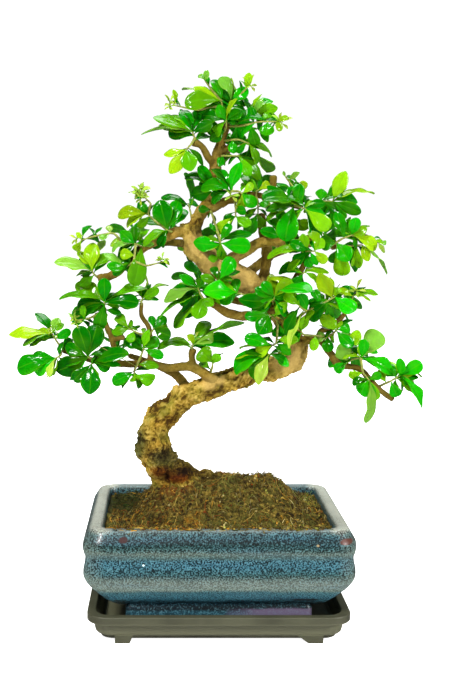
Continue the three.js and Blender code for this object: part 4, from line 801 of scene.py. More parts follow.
# %% Sprays of leaves
SPRAYS = {
    "apexLeft": [
        ([(8, 383, -1), (6, 392, -5), (4, 403, -8)], "ypoyyg",
         [(-18, 414, 11), (-27, 412, 7), (-25, 401, 13), (-5, 391, 9, -8), (-16, 407, 9, 8),
          (-3, 420, 8, 6)]),
        ([(6, 392, -5), (-16, 396, -8), (-34, 400, -10)], "lly",
         [(-41, 403, 5), (-41, 397, 3), (-34, 412, 3)]),
        ([(4, 402, -8), (-4, 412, -6), (-9, 419, -6)], "pp",
         [(-14, 424, 5), (-7, 427, 5)]),
    ],
    "apexRight": [
        ([(9, 384, -1), (12, 392, -2), (11, 402, -2)], "dggpygd",
         [(3, 415, 9), (25, 413, 11), (16, 412, 10), (4, 422, 5), (12, 420, 5), (26, 404, 10, 8),
          (-4, 408, 10, 12)]),
        ([(11, 402, -2), (19, 408, -4), (24, 413, -5)], "yl",
         [(26, 425, 7), (31, 418, 4)]),
        ([(12, 391, -2), (22, 390, -6), (30, 393, -8)], "oopyg",
         [(49, 398, 11), (51, 389, 12), (37, 404, 6), (36, 409, 5), (44, 404, 7, 8)]),
    ],
    "apexShoot": [
        ([(9, 383, -1), (22, 384, -14), (34, 387, -18), (48, 387, -20)], "ggylygg",
         [(17, 368, 17), (40, 376, 13), (57, 391, 5), (57, 384, 5), (52, 380, 6), (32, 368, 10),
          (27, 399, 10, 6)]),
    ],
    "apexHanging": [
        ([(2, 372, 1), (18, 373, -10), (26, 370, -13)], "oog",
         [(34, 354, 9), (45, 360, 4), (14, 362, 9)]),
    ],
    "apexFront": [
        ([(6, 378, 0), (8, 384, -14), (8, 388, -18)], "dydggd",
         [(-8, 382, 12), (16, 405, 5), (-5, 372, 11), (21, 396, 11), (1, 400, 10), (-12, 392, 11, 8)]),
    ],
    "apexSide": [
        ([(-12, 368, -6), (-17, 374, -10), (-19, 379, -12)], "oopgoDg",
         [(-50, 391, 9), (-46, 384, 11), (-60, 377, 6), (-13, 397, 11), (-38, 392, 8, 8),
          (-3, 386, 11), (-26, 397, 10, 8)]),
        ([(-14, 369, -8), (-20, 369, -14), (-24, 365, -17)], "yyod",
         [(-42, 361, 8), (-37, 346, 13), (-20, 348, 15), (-4, 376, 10)]),
    ],
    "neckRight": [
        ([(1, 360, 2), (10, 360, -6), (18, 360, -10)], "ooog",
         [(36, 341, 10), (27, 344, 9), (42, 348, 5), (2, 352, 8)]),
    ],
    "neckFront": [
        ([(-3, 334, 3), (2, 333, -12), (12, 332, -18)], "ddggbd",
         [(-20, 329, 15), (-25, 343, 8), (-14, 352, 10), (-1, 343, 7), (20, 355, 11),
          (-14, 338, 11, 6)]),
        ([(10, 332, -17), (18, 332, -19), (21, 330, -20)], "ybyl",
         [(20, 317, 9), (32, 320, 11), (30, 338, 7), (8, 322, 9)]),
    ],
    "highMiddle": [
        ([(15, 327, -8), (16, 319, -12), (16, 312, -14)], "oydg",
         [(28, 305, 9), (0, 299, 10), (8, 309, 8), (24, 317, 8)]),
        ([(32, 329, -10), (34, 322, -14), (34, 314, -15)], "dog",
         [(24, 297, 13), (38, 302, 9), (42, 322, 6)]),
        ([(30, 329, -10), (32, 331, -15), (34, 333, -16)], "yo",
         [(43, 339, 7), (26, 341, 6)]),
    ],
    "highRightInner": [
        ([(60, 321, -13), (66, 320, -20), (72, 318, -23)], "dDDobddoggd",
         [(41, 336, 12), (38, 326, 10), (40, 317, 9), (40, 308, 8), (56, 292, 18), (80, 289, 14),
          (68, 338, 10), (92, 302, 13), (50, 339, 9, 8), (60, 336, 9, 8), (84, 312, 11, 12)]),
        ([(66, 320, -20), (63, 334, -10), (56, 343, -10)], "ppy",
         [(54, 348, 3), (67, 347, 5), (74, 338, 8)]),
    ],
    "highRightOuter": [
        ([(66, 319, -13), (80, 324, -8), (94, 324, -6)], "yydogddg",
         [(104, 348, 14), (127, 331, 10), (117, 315, 11), (76, 316, 10), (85, 334, 11),
          (92, 304, 12, 6), (114, 324, 9, 8), (103, 308, 11, 10)]),
    ],
    "rightTip": [
        ([(93, 288, -10), (102, 294, -14), (110, 297, -15)], "dgdoypgd",
         [(84, 290, 13), (108, 276, 17), (97, 316, 11), (122, 302, 10), (130, 286, 9), (124, 305, 6),
          (113, 311, 10), (92, 300, 11, 6)]),
        ([(108, 297, -15), (122, 297, -14), (131, 291, -13)], "ppy",
         [(136, 283, 5), (138, 291, 4), (126, 288, 7)]),
    ],
    "rightTipLow": [
        ([(94, 286, -10), (106, 288, -5), (118, 289, -4)], "poydo",
         [(140, 266, 6), (104, 264, 14), (124, 276, 9), (94, 274, 10), (116, 270, 9, 8)]),
    ],
    "rightInner": [
        ([(72, 280, -24), (74, 284, -28), (80, 284, -30)], "oogdoyo",
         [(42, 278, 8), (58, 268, 8), (77, 271, 10), (60, 291, 9), (88, 293, 10), (90, 275, 8),
          (70, 298, 10)]),
    ],
    "rightLow": [
        ([(62, 258, -17), (68, 263, -24), (72, 267, -27)], "ooyo",
         [(92, 267, 5), (58, 255, 9), (44, 262, 7), (84, 259, 7)]),
    ],
    "rightUpper": [
        ([(52, 292, -8), (56, 298, -14), (58, 304, -16)], "ddgog",
         [(36, 301, 10), (66, 286, 10), (50, 316, 9), (76, 306, 10), (44, 309, 9)]),
    ],
    "bendOuter": [
        ([(60, 222, -2), (72, 234, -20), (88, 242, -26), (97, 247, -26)], "ybgogoggy",
         [(84, 266, 15), (114, 236, 14), (80, 253, 8), (78, 231, 10), (60, 234, 10), (99, 255, 10),
          (68, 249, 9), (95, 230, 9), (90, 262, 9, 8)]),
        ([(70, 232, -18), (70, 238, -26), (68, 240, -30)], "lo",
         [(60, 205, 9), (56, 249, 8)]),
    ],
    "bendRight": [
        ([(105, 233, -10), (110, 242, -12), (112, 248, -12)], "yoygyl",
         [(115, 237, 6), (132, 250, 9), (126, 244, 4), (108, 256, 7), (98, 252, 6), (119, 258, 6)]),
    ],
    "bendLow": [
        ([(88, 212, -4), (96, 217, -14), (99, 220, -16)], "gdgop",
         [(112, 206, 11), (92, 202, 10), (110, 222, 9), (86, 232, 10), (82, 214, 9)]),
        ([(76, 212, 0), (72, 216, -12), (70, 219, -16)], "obo",
         [(80, 203, 8), (62, 212, 9), (73, 231, 9)]),
    ],
    "lowRightMiddle": [
        ([(104, 191, -10), (112, 196, -16), (119, 197, -18)], "ppgbbg",
         [(134, 219, 18), (101, 208, 15), (98, 186, 9), (146, 184, 11), (122, 212, 8),
          (92, 194, 12, 8)]),
        ([(117, 189, -12), (121, 185, -18), (126, 179, -20)], "bpog",
         [(119, 167, 13), (125, 143, 10), (109, 182, 9), (136, 184, 8)]),
    ],
    "lowRightTip": [
        ([(133, 173, -12), (144, 178, -15), (152, 183, -15)], "bobgobgo",
         [(169, 193, 12), (169, 182, 4), (171, 155, 12), (150, 165, 10), (134, 188, 9), (152, 196, 9),
          (160, 170, 9), (163, 178, 8, 6)]),
    ],
    "crownFront": [
        ([(4, 270, -3), (3, 283, -18), (4, 292, -21)], "bbdgo",
         [(-18, 291, 15), (28, 288, 13), (29, 298, 8), (12, 306, 8), (-6, 278, 8)]),
        ([(-8, 320, 3), (-4, 317, -6), (-4, 315, -9)], "gd",
         [(-4, 302, 9), (-14, 318, 7)]),
    ],
    "crownLow": [
        ([(2, 258, -3), (2, 259, -20), (3, 261, -26)], "bgo",
         [(14, 279, 13), (20, 268, 8), (-12, 264, 9)]),
    ],
    "heartRight": [
        ([(47, 240, -6), (47, 244, -18), (48, 247, -22)], "dgybggygo",
         [(19, 245, 14), (38, 259, 9), (46, 266, 10), (77, 252, 9), (67, 242, 10), (30, 234, 12),
          (60, 261, 9), (32, 254, 10, 8), (56, 236, 10, 8)]),
        ([(40, 243, -14), (28, 248, -20), (18, 250, -22)], "bgg",
         [(-9, 252, 12), (16, 262, 9), (4, 242, 10)]),
    ],
    "heartLeft": [
        ([(-8, 243, -18), (-12, 249, -20), (-14, 254, -20)], "ppoooogddo",
         [(-34, 252, 8), (-42, 244, 6), (-46, 229, 8), (-35, 223, 6), (-15, 229, 14), (8, 234, 8),
          (-29, 265, 8), (-4, 264, 9), (-26, 238, 9, 8), (-2, 240, 10, 8)]),
    ],
    "heartLow": [
        ([(54, 224, -1), (48, 230, -18), (44, 232, -22)], "ggog",
         [(35, 217, 17), (24, 231, 10), (58, 243, 10), (52, 214, 11, 6)]),
        ([(56, 214, 4), (50, 209, -16), (46, 207, -20)], "bggoy",
         [(24, 214, 11), (36, 222, 8), (62, 200, 10), (68, 212, 10), (34, 200, 10)]),
    ],
    "heartYellow": [
        ([(50, 200, 0), (47, 200, -16), (44, 200, -20)], "blyyb",
         [(15, 187, 13), (35, 175, 11), (20, 205, 5), (16, 196, 7), (60, 190, 9)]),
    ],
    "leftCrown": [
        ([(-32, 299, -5), (-37, 300, -12), (-39, 301, -14)], "dgogd",
         [(-45, 325, 19), (-30, 324, 13), (-58, 289, 5), (-30, 311, 6), (-46, 288, 8)]),
        ([(-42, 297, -8), (-50, 309, -8), (-55, 314, -8)], "yogy",
         [(-79, 313, 11), (-63, 303, 8), (-60, 322, 7), (-72, 304, 8)]),
        ([(-49, 308, -8), (-52, 322, -8), (-58, 328, -8)], "lllll",
         [(-70, 331, 4), (-66, 336, 4), (-61, 337, 4), (-55, 334, 4), (-64, 323, 4)]),
    ],
    "leftMiddle": [
        ([(-58, 287, -10), (-62, 289, -18), (-65, 290, -20)], "gdoogppg",
         [(-77, 300, 11), (-66, 304, 12), (-56, 302, 9), (-66, 256, 15), (-75, 269, 10), (-84, 284, 4),
          (-50, 289, 5), (-54, 276, 9)]),
        ([(-65, 290, -20), (-66, 276, -24), (-72, 271, -22)], "gyyp",
         [(-88, 272, 10), (-77, 282, 9), (-60, 264, 6), (-90, 282, 7)]),
        ([(-66, 276, -24), (-56, 272, -22), (-44, 275, -22)], "lyl",
         [(-41, 281, 3), (-37, 274, 3), (-46, 279, 3)]),
    ],
    "leftShoots": [
        ([(-66, 280, -10), (-82, 299, -13), (-98, 296, -14), (-108, 293, -14)], "ylypp",
         [(-113, 284, 8), (-118, 295, 4), (-112, 299, 4), (-86, 305, 7), (-90, 293, 8)]),
    ],
    "leftTip": [
        ([(-93, 261, -11), (-98, 265, -14), (-100, 268, -15)], "pyoopyoy",
         [(-130, 276, 8), (-99, 291, 15), (-82, 281, 8), (-84, 271, 10), (-113, 264, 5),
          (-111, 284, 9, 8), (-110, 256, 10), (-90, 290, 7, 6)]),
    ],
    "leftRiser": [
        ([(-90, 234, -11), (-90, 239, -14), (-90, 243, -15)], "ooDodggdg",
         [(-113, 259, 14), (-127, 245, 10), (-106, 238, 11), (-55, 254, 6), (-62, 242, 10),
          (-98, 226, 7), (-90, 262, 12), (-76, 233, 7), (-72, 248, 8, 6)]),
        ([(-90, 227, -10), (-101, 230, -13), (-111, 228, -14)], "llgo",
         [(-120, 232, 5), (-117, 222, 6), (-92, 225, 5), (-108, 240, 5)]),
    ],
    "farLeft": [
        ([(-122, 202, 0), (-128, 209, -3), (-133, 217, -4)], "ypoyog",
         [(-168, 217, 10), (-127, 230, 10), (-157, 207, 7), (-143, 221, 5), (-142, 212, 6),
          (-118, 220, 8)]),
        ([(-121, 202, 0), (-126, 199, -8), (-130, 197, -10)], "gblD",
         [(-162, 188, 16), (-147, 184, 11), (-136, 182, 5), (-116, 212, 12, 8)]),
    ],
    "farLeftInner": [
        ([(-100, 195, -2), (-102, 197, -10), (-104, 198, -13)], "DDDgd",
         [(-96, 224, 18), (-112, 223, 15), (-130, 186, 20), (-84, 205, 6), (-122, 208, 12, 6)]),
        ([(-97, 194, -3), (-99, 193, -10), (-101, 192, -14)], "DdgD",
         [(-103, 167, 19), (-71, 201, 14), (-86, 188, 9), (-116, 178, 11, 8)]),
    ],
    "lowLeftFront": [
        ([(-62, 193, -8), (-60, 200, -13), (-58, 205, -15)], "dgggo",
         [(-74, 212, 10), (-46, 213, 10), (-42, 198, 8), (-66, 218, 8), (-54, 220, 8)]),
        ([(-66, 192, -7), (-66, 187, -12), (-66, 184, -14)], "ogoo",
         [(-50, 178, 12), (-84, 177, 11), (-64, 178, 11), (-46, 190, 8)]),
    ],
    "lowLeftRise": [
        ([(-60, 239, -12), (-60, 243, -14), (-59, 246, -15)], "ooDply",
         [(-46, 254, 8), (-66, 256, 7), (-44, 234, 12), (-38, 257, 4), (-57, 265, 6), (-72, 246, 7)]),
    ],
    "lowLeftSide": [
        ([(-54, 214, -11), (-52, 218, -15), (-50, 221, -16)], "gDg",
         [(-40, 231, 10), (-36, 215, 12), (-52, 232, 7)]),
        ([(-53, 208, -11), (-62, 217, -15), (-70, 221, -16)], "oooo",
         [(-80, 232, 9), (-84, 218, 8), (-58, 222, 5), (-70, 210, 8)]),
    ],
    "stubSpray": [
        ([(-18, 201, -9), (-19, 205, -12), (-18, 208, -13)], "opoply",
         [(-47, 205, 7), (0, 216, 11), (23, 228, 6), (-38, 212, 7), (-14, 218, 4), (-22, 216, 4)]),
    ],
    "trunkFront": [
        ([(-4, 184, -4), (-2, 190, -14), (-2, 193, -16)], "ooo",
         [(-13, 203, 15), (3, 200, 8), (-16, 190, 8)]),
    ],
    "backTop": [
        ([(10, 362, 23), (12, 365, 26), (14, 368, 30)], "dgodyg", 6),
    ],
    "backApex": [
        ([(6, 378, 0), (7, 384, 8), (8, 388, 14)], "gdgoyd", 6),
    ],
    "backHigh": [
        ([(26, 325, 30), (30, 327, 33), (33, 330, 37)], "dgodyg", 6),
    ],
    "backLeftShoulder": [
        ([(-18, 302, 2), (-20, 314, 14), (-22, 322, 22)], "DdgDo", 5),
    ],
    "backCrown": [
        ([(-14, 280, 2), (-12, 283, 18), (-12, 286, 26)], "dDgdog", 6),
    ],
    "backLeft": [
        ([(-60, 286, 38), (-63, 289, 41), (-66, 292, 45)], "gdogdyg", 7),
    ],
    "backLeftInner": [
        ([(-34, 290, 22), (-37, 296, 30), (-38, 301, 36)], "dDgod", 5),
    ],
    "backRight": [
        ([(80, 290, 48), (84, 293, 51), (88, 296, 54)], "dgodygo", 7),
    ],
    "backRightInner": [
        ([(46, 280, 30), (49, 286, 37), (50, 292, 42)], "dgodgD", 6),
    ],
    "backBend": [
        ([(88, 236, 43), (92, 238, 46), (95, 241, 50)], "gdogdyg", 7),
    ],
    "backMiddle": [
        ([(-6, 252, 40), (-10, 254, 43), (-13, 257, 47)], "gdogdyD", 7),
    ],
    "backMiddleRight": [
        ([(28, 242, 17), (32, 247, 27), (34, 251, 34)], "dgoDgd", 6),
    ],
    "backLow": [
        ([(-70, 199, 36), (-75, 202, 39), (-79, 205, 43)], "dgodyDg", 7),
    ],
    "backLowRight": [
        ([(104, 191, -9), (108, 198, 8), (112, 203, 20)], "gogdy", 5),
    ],
}
print(len(SPRAYS), "sprays with", sum(len(tufts) for tufts in SPRAYS.values()), "twigs")

# %% [markdown]
# ## Leaves: how they grow
#
# A spray is a twig with leaves close together near its end, and often a side twig that forks off. The
# rule is that of the CAD, with the same seeded numbers, so that each fine leaf lies where the plain one
# lay. Leaves that aren't listed are spread round the twig by the golden angle, as most plants do.

# %% How the leaves grow
GOLDEN_ANGLE = math.pi * (3 - math.sqrt(5))
DEPTH_TRIES = (0, 7, -7, 14, -14, 20, -20, 26, -26)
NODES_PER_SPAN = 6
BARE_STEPS = 3


def seeded_random(seed):
    """The same small generator as in the CAD, in 32-bit whole numbers."""
    mask, state = 0xFFFFFFFF, seed
    while True:
        state = (state + 0x6D2B79F5) & mask
        mixed = ((state ^ (state >> 15)) * (1 | state)) & mask
        mixed = ((mixed + ((mixed ^ (mixed >> 7)) * (61 | mixed) & mask)) ^ mixed) & mask
        yield (mixed ^ (mixed >> 14)) / 4294967296


def nodes_of(twig):
    """The places along a twig where leaves and side twigs start, past its bare foot."""
    nodes = []
    for i, (start, end) in enumerate(zip(twig, twig[1:])):
        for step in range(BARE_STEPS if i == 0 else 1, NODES_PER_SPAN + 1):
            share = step / NODES_PER_SPAN
            nodes.append(tuple(a + (b - a) * share for a, b in zip(start, end)))
    return nodes


def nearest(nodes, x, z):
    """The node that looks nearest to a place in the photograph."""
    return min(nodes, key=lambda node: math.hypot(node[0] - x, node[1] - z))


def forked(tufts):
    """The first twig starts in the wood, and each later one forks from those before it."""
    grown = [tufts[0]]
    for twig, tones, leaves in tufts[1:]:
        forks = [node for earlier in grown for node in nodes_of(earlier[0])]
        fork = min(forks, key=lambda node: math.dist(node, twig[1]))
        grown.append(([fork] + twig[1:], tones, leaves))
    return grown


def unit(vector):
    """The same direction with a length of 1."""
    return vector / np.linalg.norm(vector)


def leaves_of(twig, leaves, seed):
    """Every leaf of a tuft before it is bent clear."""
    random = seeded_random(seed)
    start, end = seen(*twig[-2]), seen(*twig[-1])
    axis = unit(end - start)
    count = leaves if isinstance(leaves, int) else len(leaves)
    for i in range(count):
        draw = [next(random) for _ in range(3)]
        if isinstance(leaves, int):
            base = end + (start - end) * 0.6 * i / count
            turn, lean, length = i * GOLDEN_ANGLE + seed, 0.75 + 0.5 * draw[0], 19 + 8 * draw[1]
            level = unit(np.array((-axis[1], axis[0], 0)))
            out = level * math.cos(turn) + np.cross(axis, level) * math.sin(turn)
            tip = base + length * (axis * math.cos(lean) + out * math.sin(lean))
            yield {"base": base, "tip": tip, "width": 10 + 4 * draw[2], "draw": draw, "index": i}
        else:
            x, z, width, past = (*leaves[i], 0)[:4]
            node = nearest(nodes_of(twig), x, z)
            depth = node[2] + past + 8 * math.sin(2.4 * i + seed)
            yield {"base": seen(*node), "seen_tip": (x, z, depth), "width": width, "draw": draw,
                   "index": i}


def tip_of(leaf, shift):
    """The tip of a leaf that is bent back or forward by a few millimetres."""
    if "seen_tip" in leaf:
        x, z, depth = leaf["seen_tip"]
        return seen(x, z, depth + shift)
    return leaf["tip"] + (0, shift * 0.6, 0)


print(len(nodes_of(SPRAYS["backTop"][0][0])), "nodes on the twig at the top of the back")

# %% [markdown]
# ## Leaves: the shape of one
#
# The blade is folded along its midrib, arches down and ripples at its edge, and no two are alike. It is
# made of two sheets of small faces, a glossy upper one and a paler lower one a third of a millimetre
# under it, because each needs a finish of its own. A listed leaf is turned about its midrib until it
# looks as wide as it does in the photograph.

# %% The shape of one leaf
# Places along a blade as shares of its length, the width at each, and places across as shares of half
BLADE_PLACES = np.array((0, 0.05, 0.11, 0.19, 0.28, 0.37, 0.46, 0.55, 0.63, 0.71, 0.78, 0.845, 0.9, 0.945,
                         0.975, 0.994, 1))
BLADE_WIDTHS = np.array((0.06, 0.07, 0.12, 0.25, 0.44, 0.62, 0.78, 0.9, 0.97, 1, 0.98, 0.91, 0.79, 0.62,
                         0.43, 0.2, 0.02))
ACROSS = np.array((-1, -0.84, -0.62, -0.38, -0.15, 0, 0.15, 0.38, 0.62, 0.84, 1))


def pose_of(leaf, tip):
    """The frame, width and arch of a leaf from its foot to its tip."""
    chord = tip - leaf["base"]
    length, along = np.linalg.norm(chord), unit(chord)
    listed = "seen_tip" in leaf
    outward = unit(EYE - leaf["base"]) if listed else np.array((0, 0, 1.0))
    facing = unit(outward - along * outward.dot(along))
    upper = np.cross(along, facing)
    flip = upper[2] < 0 if abs(upper[2]) > 0.25 else leaf["index"] % 2 == 1
    upper = -upper if flip else upper
    width = max(leaf["width"], 0.5 * length * (0.85 + 0.3 * leaf["draw"][0]))
    cosine = leaf["width"] / width if listed else 0.85
    return {"base": leaf["base"], "along": along, "length": length, "width": width,
            "normal": facing * cosine + upper * math.sqrt(1 - cosine * cosine),
            "arch": 0.12 * (0.6 + 0.9 * leaf["draw"][1])}


def blade(pose, draw, stride=1):
    """Points, faces and pattern coordinates of one leaf: a glossy upper sheet and a paler lower one."""
    length, width, wave = pose["length"], pose["width"], draw[2] * 6.28
    places, widths = BLADE_PLACES[::stride], BLADE_WIDTHS[::stride]
    s, u = np.meshgrid(places, ACROSS[::stride], indexing="ij")
    pointed = 0.5 * np.clip((0.6 - draw[1]) / 0.3, 0, 1) * np.clip((places - 0.5) / 0.5, 0, 1) ** 1.3
    half = np.maximum(widths * (1 - pointed) * width / 2, 0.42)[:, None]
    fold = 0.02 + 0.42 * draw[2]
    ripple = 0.14 * np.sin(8 * s + wave) * u ** 2 * np.sign(u) + 0.1 * np.sin(14 * s + 2 * wave) * u ** 2
    rise = half * (fold * np.abs(u) ** 1.4 - 0.22 * u ** 6 + ripple * np.sin(np.pi * s))
    rise += pose["arch"] * length * 4 * s * (1 - s) - 0.05 * length * draw[0] * s ** 4
    sickle = (draw[1] - 0.5) * 0.3 * length * s * (1 - s)
    twist = (draw[0] - 0.5) * 1.1 * s
    notch = 0.035 * length * (draw[1] > 0.6) * np.exp(-(u / 0.35) ** 2) * np.clip((s - 0.9) / 0.1, 0, 1)
    side = np.cross(pose["along"], pose["normal"])
    sideways = half * u * np.cos(twist) + sickle
    upwards = rise + half * u * np.sin(twist)
    groove = 0.22 * np.exp(-(u / 0.12) ** 2) * np.sin(np.pi * np.clip(s, 0.03, 0.97))
    body = (0.5 - 0.36 * np.clip(s / 0.2, 0, 1)) * (1 - u ** 2) + 0.16 * (1 - u ** 4)
    sheets = []
    for height in (upwards - groove, upwards - body - groove):
        sheets.append(pose["base"] + ((s * length - notch)[..., None] * pose["along"]
                                      + sideways[..., None] * side + height[..., None] * pose["normal"]))
    rows, columns = s.shape
    corner = (np.arange(rows - 1)[:, None] * columns + np.arange(columns - 1)).ravel()
    top = np.stack([corner, corner + columns, corner + columns + 1, corner + 1], 1)
    under = top[:, ::-1] + rows * columns
    points = np.concatenate([sheet.reshape(-1, 3) for sheet in sheets])
    where = np.stack([u.ravel(), s.ravel(), np.ones(u.size)], 1)
    pattern = np.concatenate([where, where * (1, 1, 0)])
    return points, np.vstack([top, under]), pattern


def green_twig(twig):
    """A thin round shoot along its path, a little thicker where each leaf starts."""
    path = np.array([seen(*place) for place in [twig[0]] + nodes_of(twig)])
    path[1:-1] = (path[:-2] + 2 * path[1:-1] + path[2:]) / 4
    along, across, other = frames_along(path, (0.3, 1, 0.2))
    angles = np.arange(8)[:, None] / 8 * 2 * math.pi
    radii = np.linspace(1.05, 0.5, len(path)) * (1 + 0.12 * (np.arange(len(path)) % 3 == 0))
    rings = [centre + radius * (a * np.cos(angles) + b * np.sin(angles))
             for centre, radius, a, b in zip(path, radii, across, other)]
    rings.append(path[-1] + along[-1] * 0.8 + 0.4 * (rings[-1] - path[-1]))
    return loft(rings)


print("a blade has", 2 * (len(BLADE_PLACES) - 1) * (len(ACROSS) - 1), "faces")

# %% [markdown]
# ## Leaves: the sprays
#
# Each spray becomes one object that carries its leaves' colours and patterns as values of the mesh.
# Where the photograph is dense, smaller leaves fill the rosette behind the listed ones. These and the
# buds are made with every second place of the blade, since they are small or half hidden. The CAD bent
# a leaf that touched the wood or another leaf back or forward. Its points tell which try it kept.

# %% Leaves and buds of a tuft
# Greens from the darkest to a lime bud and a pale underside, and the green of the shoots. The darkest,
# D and d, are partly the leaves' own dark green and partly painted shade for leaves in the shade of others
LEAF_TONES = {
    "D": "#035302", "d": "#046401", "g": "#077702", "b": "#0b8d02", "o": "#4a8c04", "y": "#7aa60a",
    "l": "#90ae38", "p": "#64942c",
}
SHOOT_TONE = "#6f7a2c"
# Fillers are mostly dark: painted shade for the leaves that lie behind the listed ones
FILLER_TONES = "Dddgo"
# Fillers for each listed leaf, and how near in millimetres the CAD has to have a point for a leaf's tip
FILLING = 1.5
TIP_NEAR = 2.5
LEAF, SHOOT = 0, 1
# Star-shaped buds on thin stalks: the spray that carries each, and where its middle is
BUDS = {"farLeft": [(-136, 183, 3.4), (-134.5, 219, 3), (-128, 215, 3)], "leftCrown": [(-62, 329, 5)],
        "lowLeftFront": [(-104, 212, 3)]}
hue_rng = np.random.default_rng(11)


def leaf_part(leaf, tip, tone, stride=1):
    """A leaf as points, faces, pattern, colour and kind."""
    return *blade(pose_of(leaf, tip), leaf["draw"], stride), LEAF_TONES[tone], LEAF


def shoot_part(tube):
    """A twig or stalk as points, faces, pattern, colour and kind."""
    points, faces = tube
    return points, faces, np.zeros((len(points), 3)), SHOOT_TONE, SHOOT


def fillers_of(twig, kept_tips):
    """Smaller leaves behind the listed ones, which close a rosette where the photograph is dense."""
    nodes = nodes_of(twig)
    for i in range(round(FILLING * len(kept_tips))):
        x, z, depth = kept_tips[int(hue_rng.integers(len(kept_tips)))]
        node = nodes[int(hue_rng.integers(len(nodes) // 2, len(nodes)))]
        turn, share = hue_rng.normal(0, 0.55), hue_rng.uniform(0.5, 0.85)
        dx, dz = (x - node[0]) * share, (z - node[1]) * share
        aim = (node[0] + dx * math.cos(turn) - dz * math.sin(turn),
               node[1] + dx * math.sin(turn) + dz * math.cos(turn),
               node[2] + hue_rng.uniform(2, 13))
        draw = hue_rng.uniform(0, 1, 3)
        reach = max(math.hypot(dx, dz), 6)
        yield {"base": seen(*node), "seen_tip": aim, "width": reach * hue_rng.uniform(0.3, 0.55),
               "draw": draw, "index": i}


def bud(place, count, length):
    """A tuft of slim pointed leaflets that is just opening, as seen from the front."""
    parts = []
    for i in range(count):
        turn = (i + hue_rng.uniform(-0.3, 0.3)) / count * 2 * math.pi
        tip = place + length * hue_rng.uniform(0.8, 1.2) * np.array(
            (math.cos(turn), hue_rng.uniform(-0.7, 0.1), math.sin(turn) + 0.25))
        leaflet = {"base": place, "seen_tip": True, "width": 0.34 * length, "draw": (0.5, 0.2, 0.8),
                   "index": i}
        parts.append(leaf_part(leaflet, tip, "l", 2))
    return parts


def tuft_parts(twig, tones, leaves, seed, cad_points):
    """A twig with the leaves that the CAD kept and the fillers behind them, and how many it kept."""
    parts, kept, kept_tips = [shoot_part(green_twig(twig))], 0, []
    for leaf, tone in zip(leaves_of(twig, leaves, seed), tones):
        tips = [tip_of(leaf, shift) for shift in DEPTH_TRIES]
        gaps = [np.linalg.norm(cad_points - tip, axis=1).min() for tip in tips]
        best = int(np.argmin(gaps))
        if gaps[best] > TIP_NEAR:
            continue
        kept += 1
        reach = np.linalg.norm(tips[best] - leaf["base"])
        if tone == "l" and reach < 14:
            parts += bud(leaf["base"] + 0.4 * (tips[best] - leaf["base"]), 5, 0.6 * reach)
            continue
        parts.append(leaf_part(leaf, tips[best], tone))
        if "seen_tip" in leaf:
            kept_tips.append(leaf["seen_tip"])
    for leaf in fillers_of(twig, kept_tips):
        tone = FILLER_TONES[int(hue_rng.integers(len(FILLER_TONES)))]
        parts.append(leaf_part(leaf, tip_of(leaf, 0), tone, 2))
    return parts, kept


def bud_parts(name):
    """The star-shaped buds of a spray, each on a stalk from the nearest node."""
    parts, nodes = [], [node for twig, _, _ in forked(SPRAYS[name]) for node in nodes_of(twig)]
    for x, z, length in BUDS.get(name, []):
        node = nearest(nodes, x, z)
        place = seen(x, z, node[2] - 4)
        parts.append(shoot_part(strand(np.linspace(seen(*node), place, 6), 0.4, 5)))
        parts += bud(place, 6, length)
    return parts


print(len(LEAF_TONES), "tones of green and", sum(len(buds) for buds in BUDS.values()), "star-shaped buds")

# %% Grow the sprays
def shade_of(colour, points):
    """The colour of one leaf, a little off the tone in the list."""
    shade = np.array(linear(colour)) * (1 + 0.16 * hue_rng.normal())
    shade *= (1 + 0.1 * hue_rng.normal(), 1, 1, 1)
    # Painted light: the dark leaves on the right are made paler, the further right the more
    tone_shift = np.interp(points[:, 0].mean(), (40, 85), (0, 1)) * (shade[0] < 0.1)
    shade *= 1 + tone_shift * np.array((0.8, 0.25, 0.4, 0))
    return np.clip(shade, 0, 1)


def grown_spray(name, index):
    """One object for a spray: its twigs and its leaves, where the CAD kept them."""
    cad_points = vectors_of(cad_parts[f"spray_{name}"].data.vertices, "co") / MM - (TREE_SHIFT, 0, 0)
    meshes, patterns, colours, kinds, kept = [], [], [], [], 0
    for order, (twig, tones, leaves) in enumerate(forked(SPRAYS[name])):
        parts, kept_here = tuft_parts(twig, tones, leaves, index * 10 + order, cad_points)
        kept += kept_here
        if order == 0:
            parts += bud_parts(name)
        for points, faces, pattern, colour, kind in parts:
            meshes.append((points, faces))
            patterns.append(pattern)
            colours.append(np.tile(shade_of(colour, points), (len(points), 1)))
            kinds += [kind] * len(faces)
    piece = mesh_object(f"foliage_{name}", *joined(meshes))
    for layer, kind, domain, key, values in (
            ("blade", "FLOAT_VECTOR", "POINT", "vector", np.vstack(patterns).ravel()),
            ("leaf_colour", "FLOAT_COLOR", "POINT", "color", np.vstack(colours).ravel()),
            ("kind", "INT", "FACE", "value", kinds)):
        piece.data.attributes.new(layer, kind, domain).data.foreach_set(key, values)
    return piece, kept


foliage, leaf_count = {}, 0
for index, name in enumerate(SPRAYS):
    foliage[name], kept = grown_spray(name, index)
    leaf_count += kept
print(leaf_count, "leaves in", len(foliage), "sprays,",
      sum(len(piece.data.polygons) for piece in foliage.values()), "faces")

# %% [markdown]
# ## Leaf finish
#
# The upper side is covered with wax, so it mirrors the lamps in clear streaks, and the lower side is
# matt and paler. The midrib is a light line, and side veins leave it in low arcs. The pattern follows
# each blade's own coordinates, which the mesh carries, so the veins bend with the leaf. The colour of
# each leaf was given when it was grown, and noise mottles it.

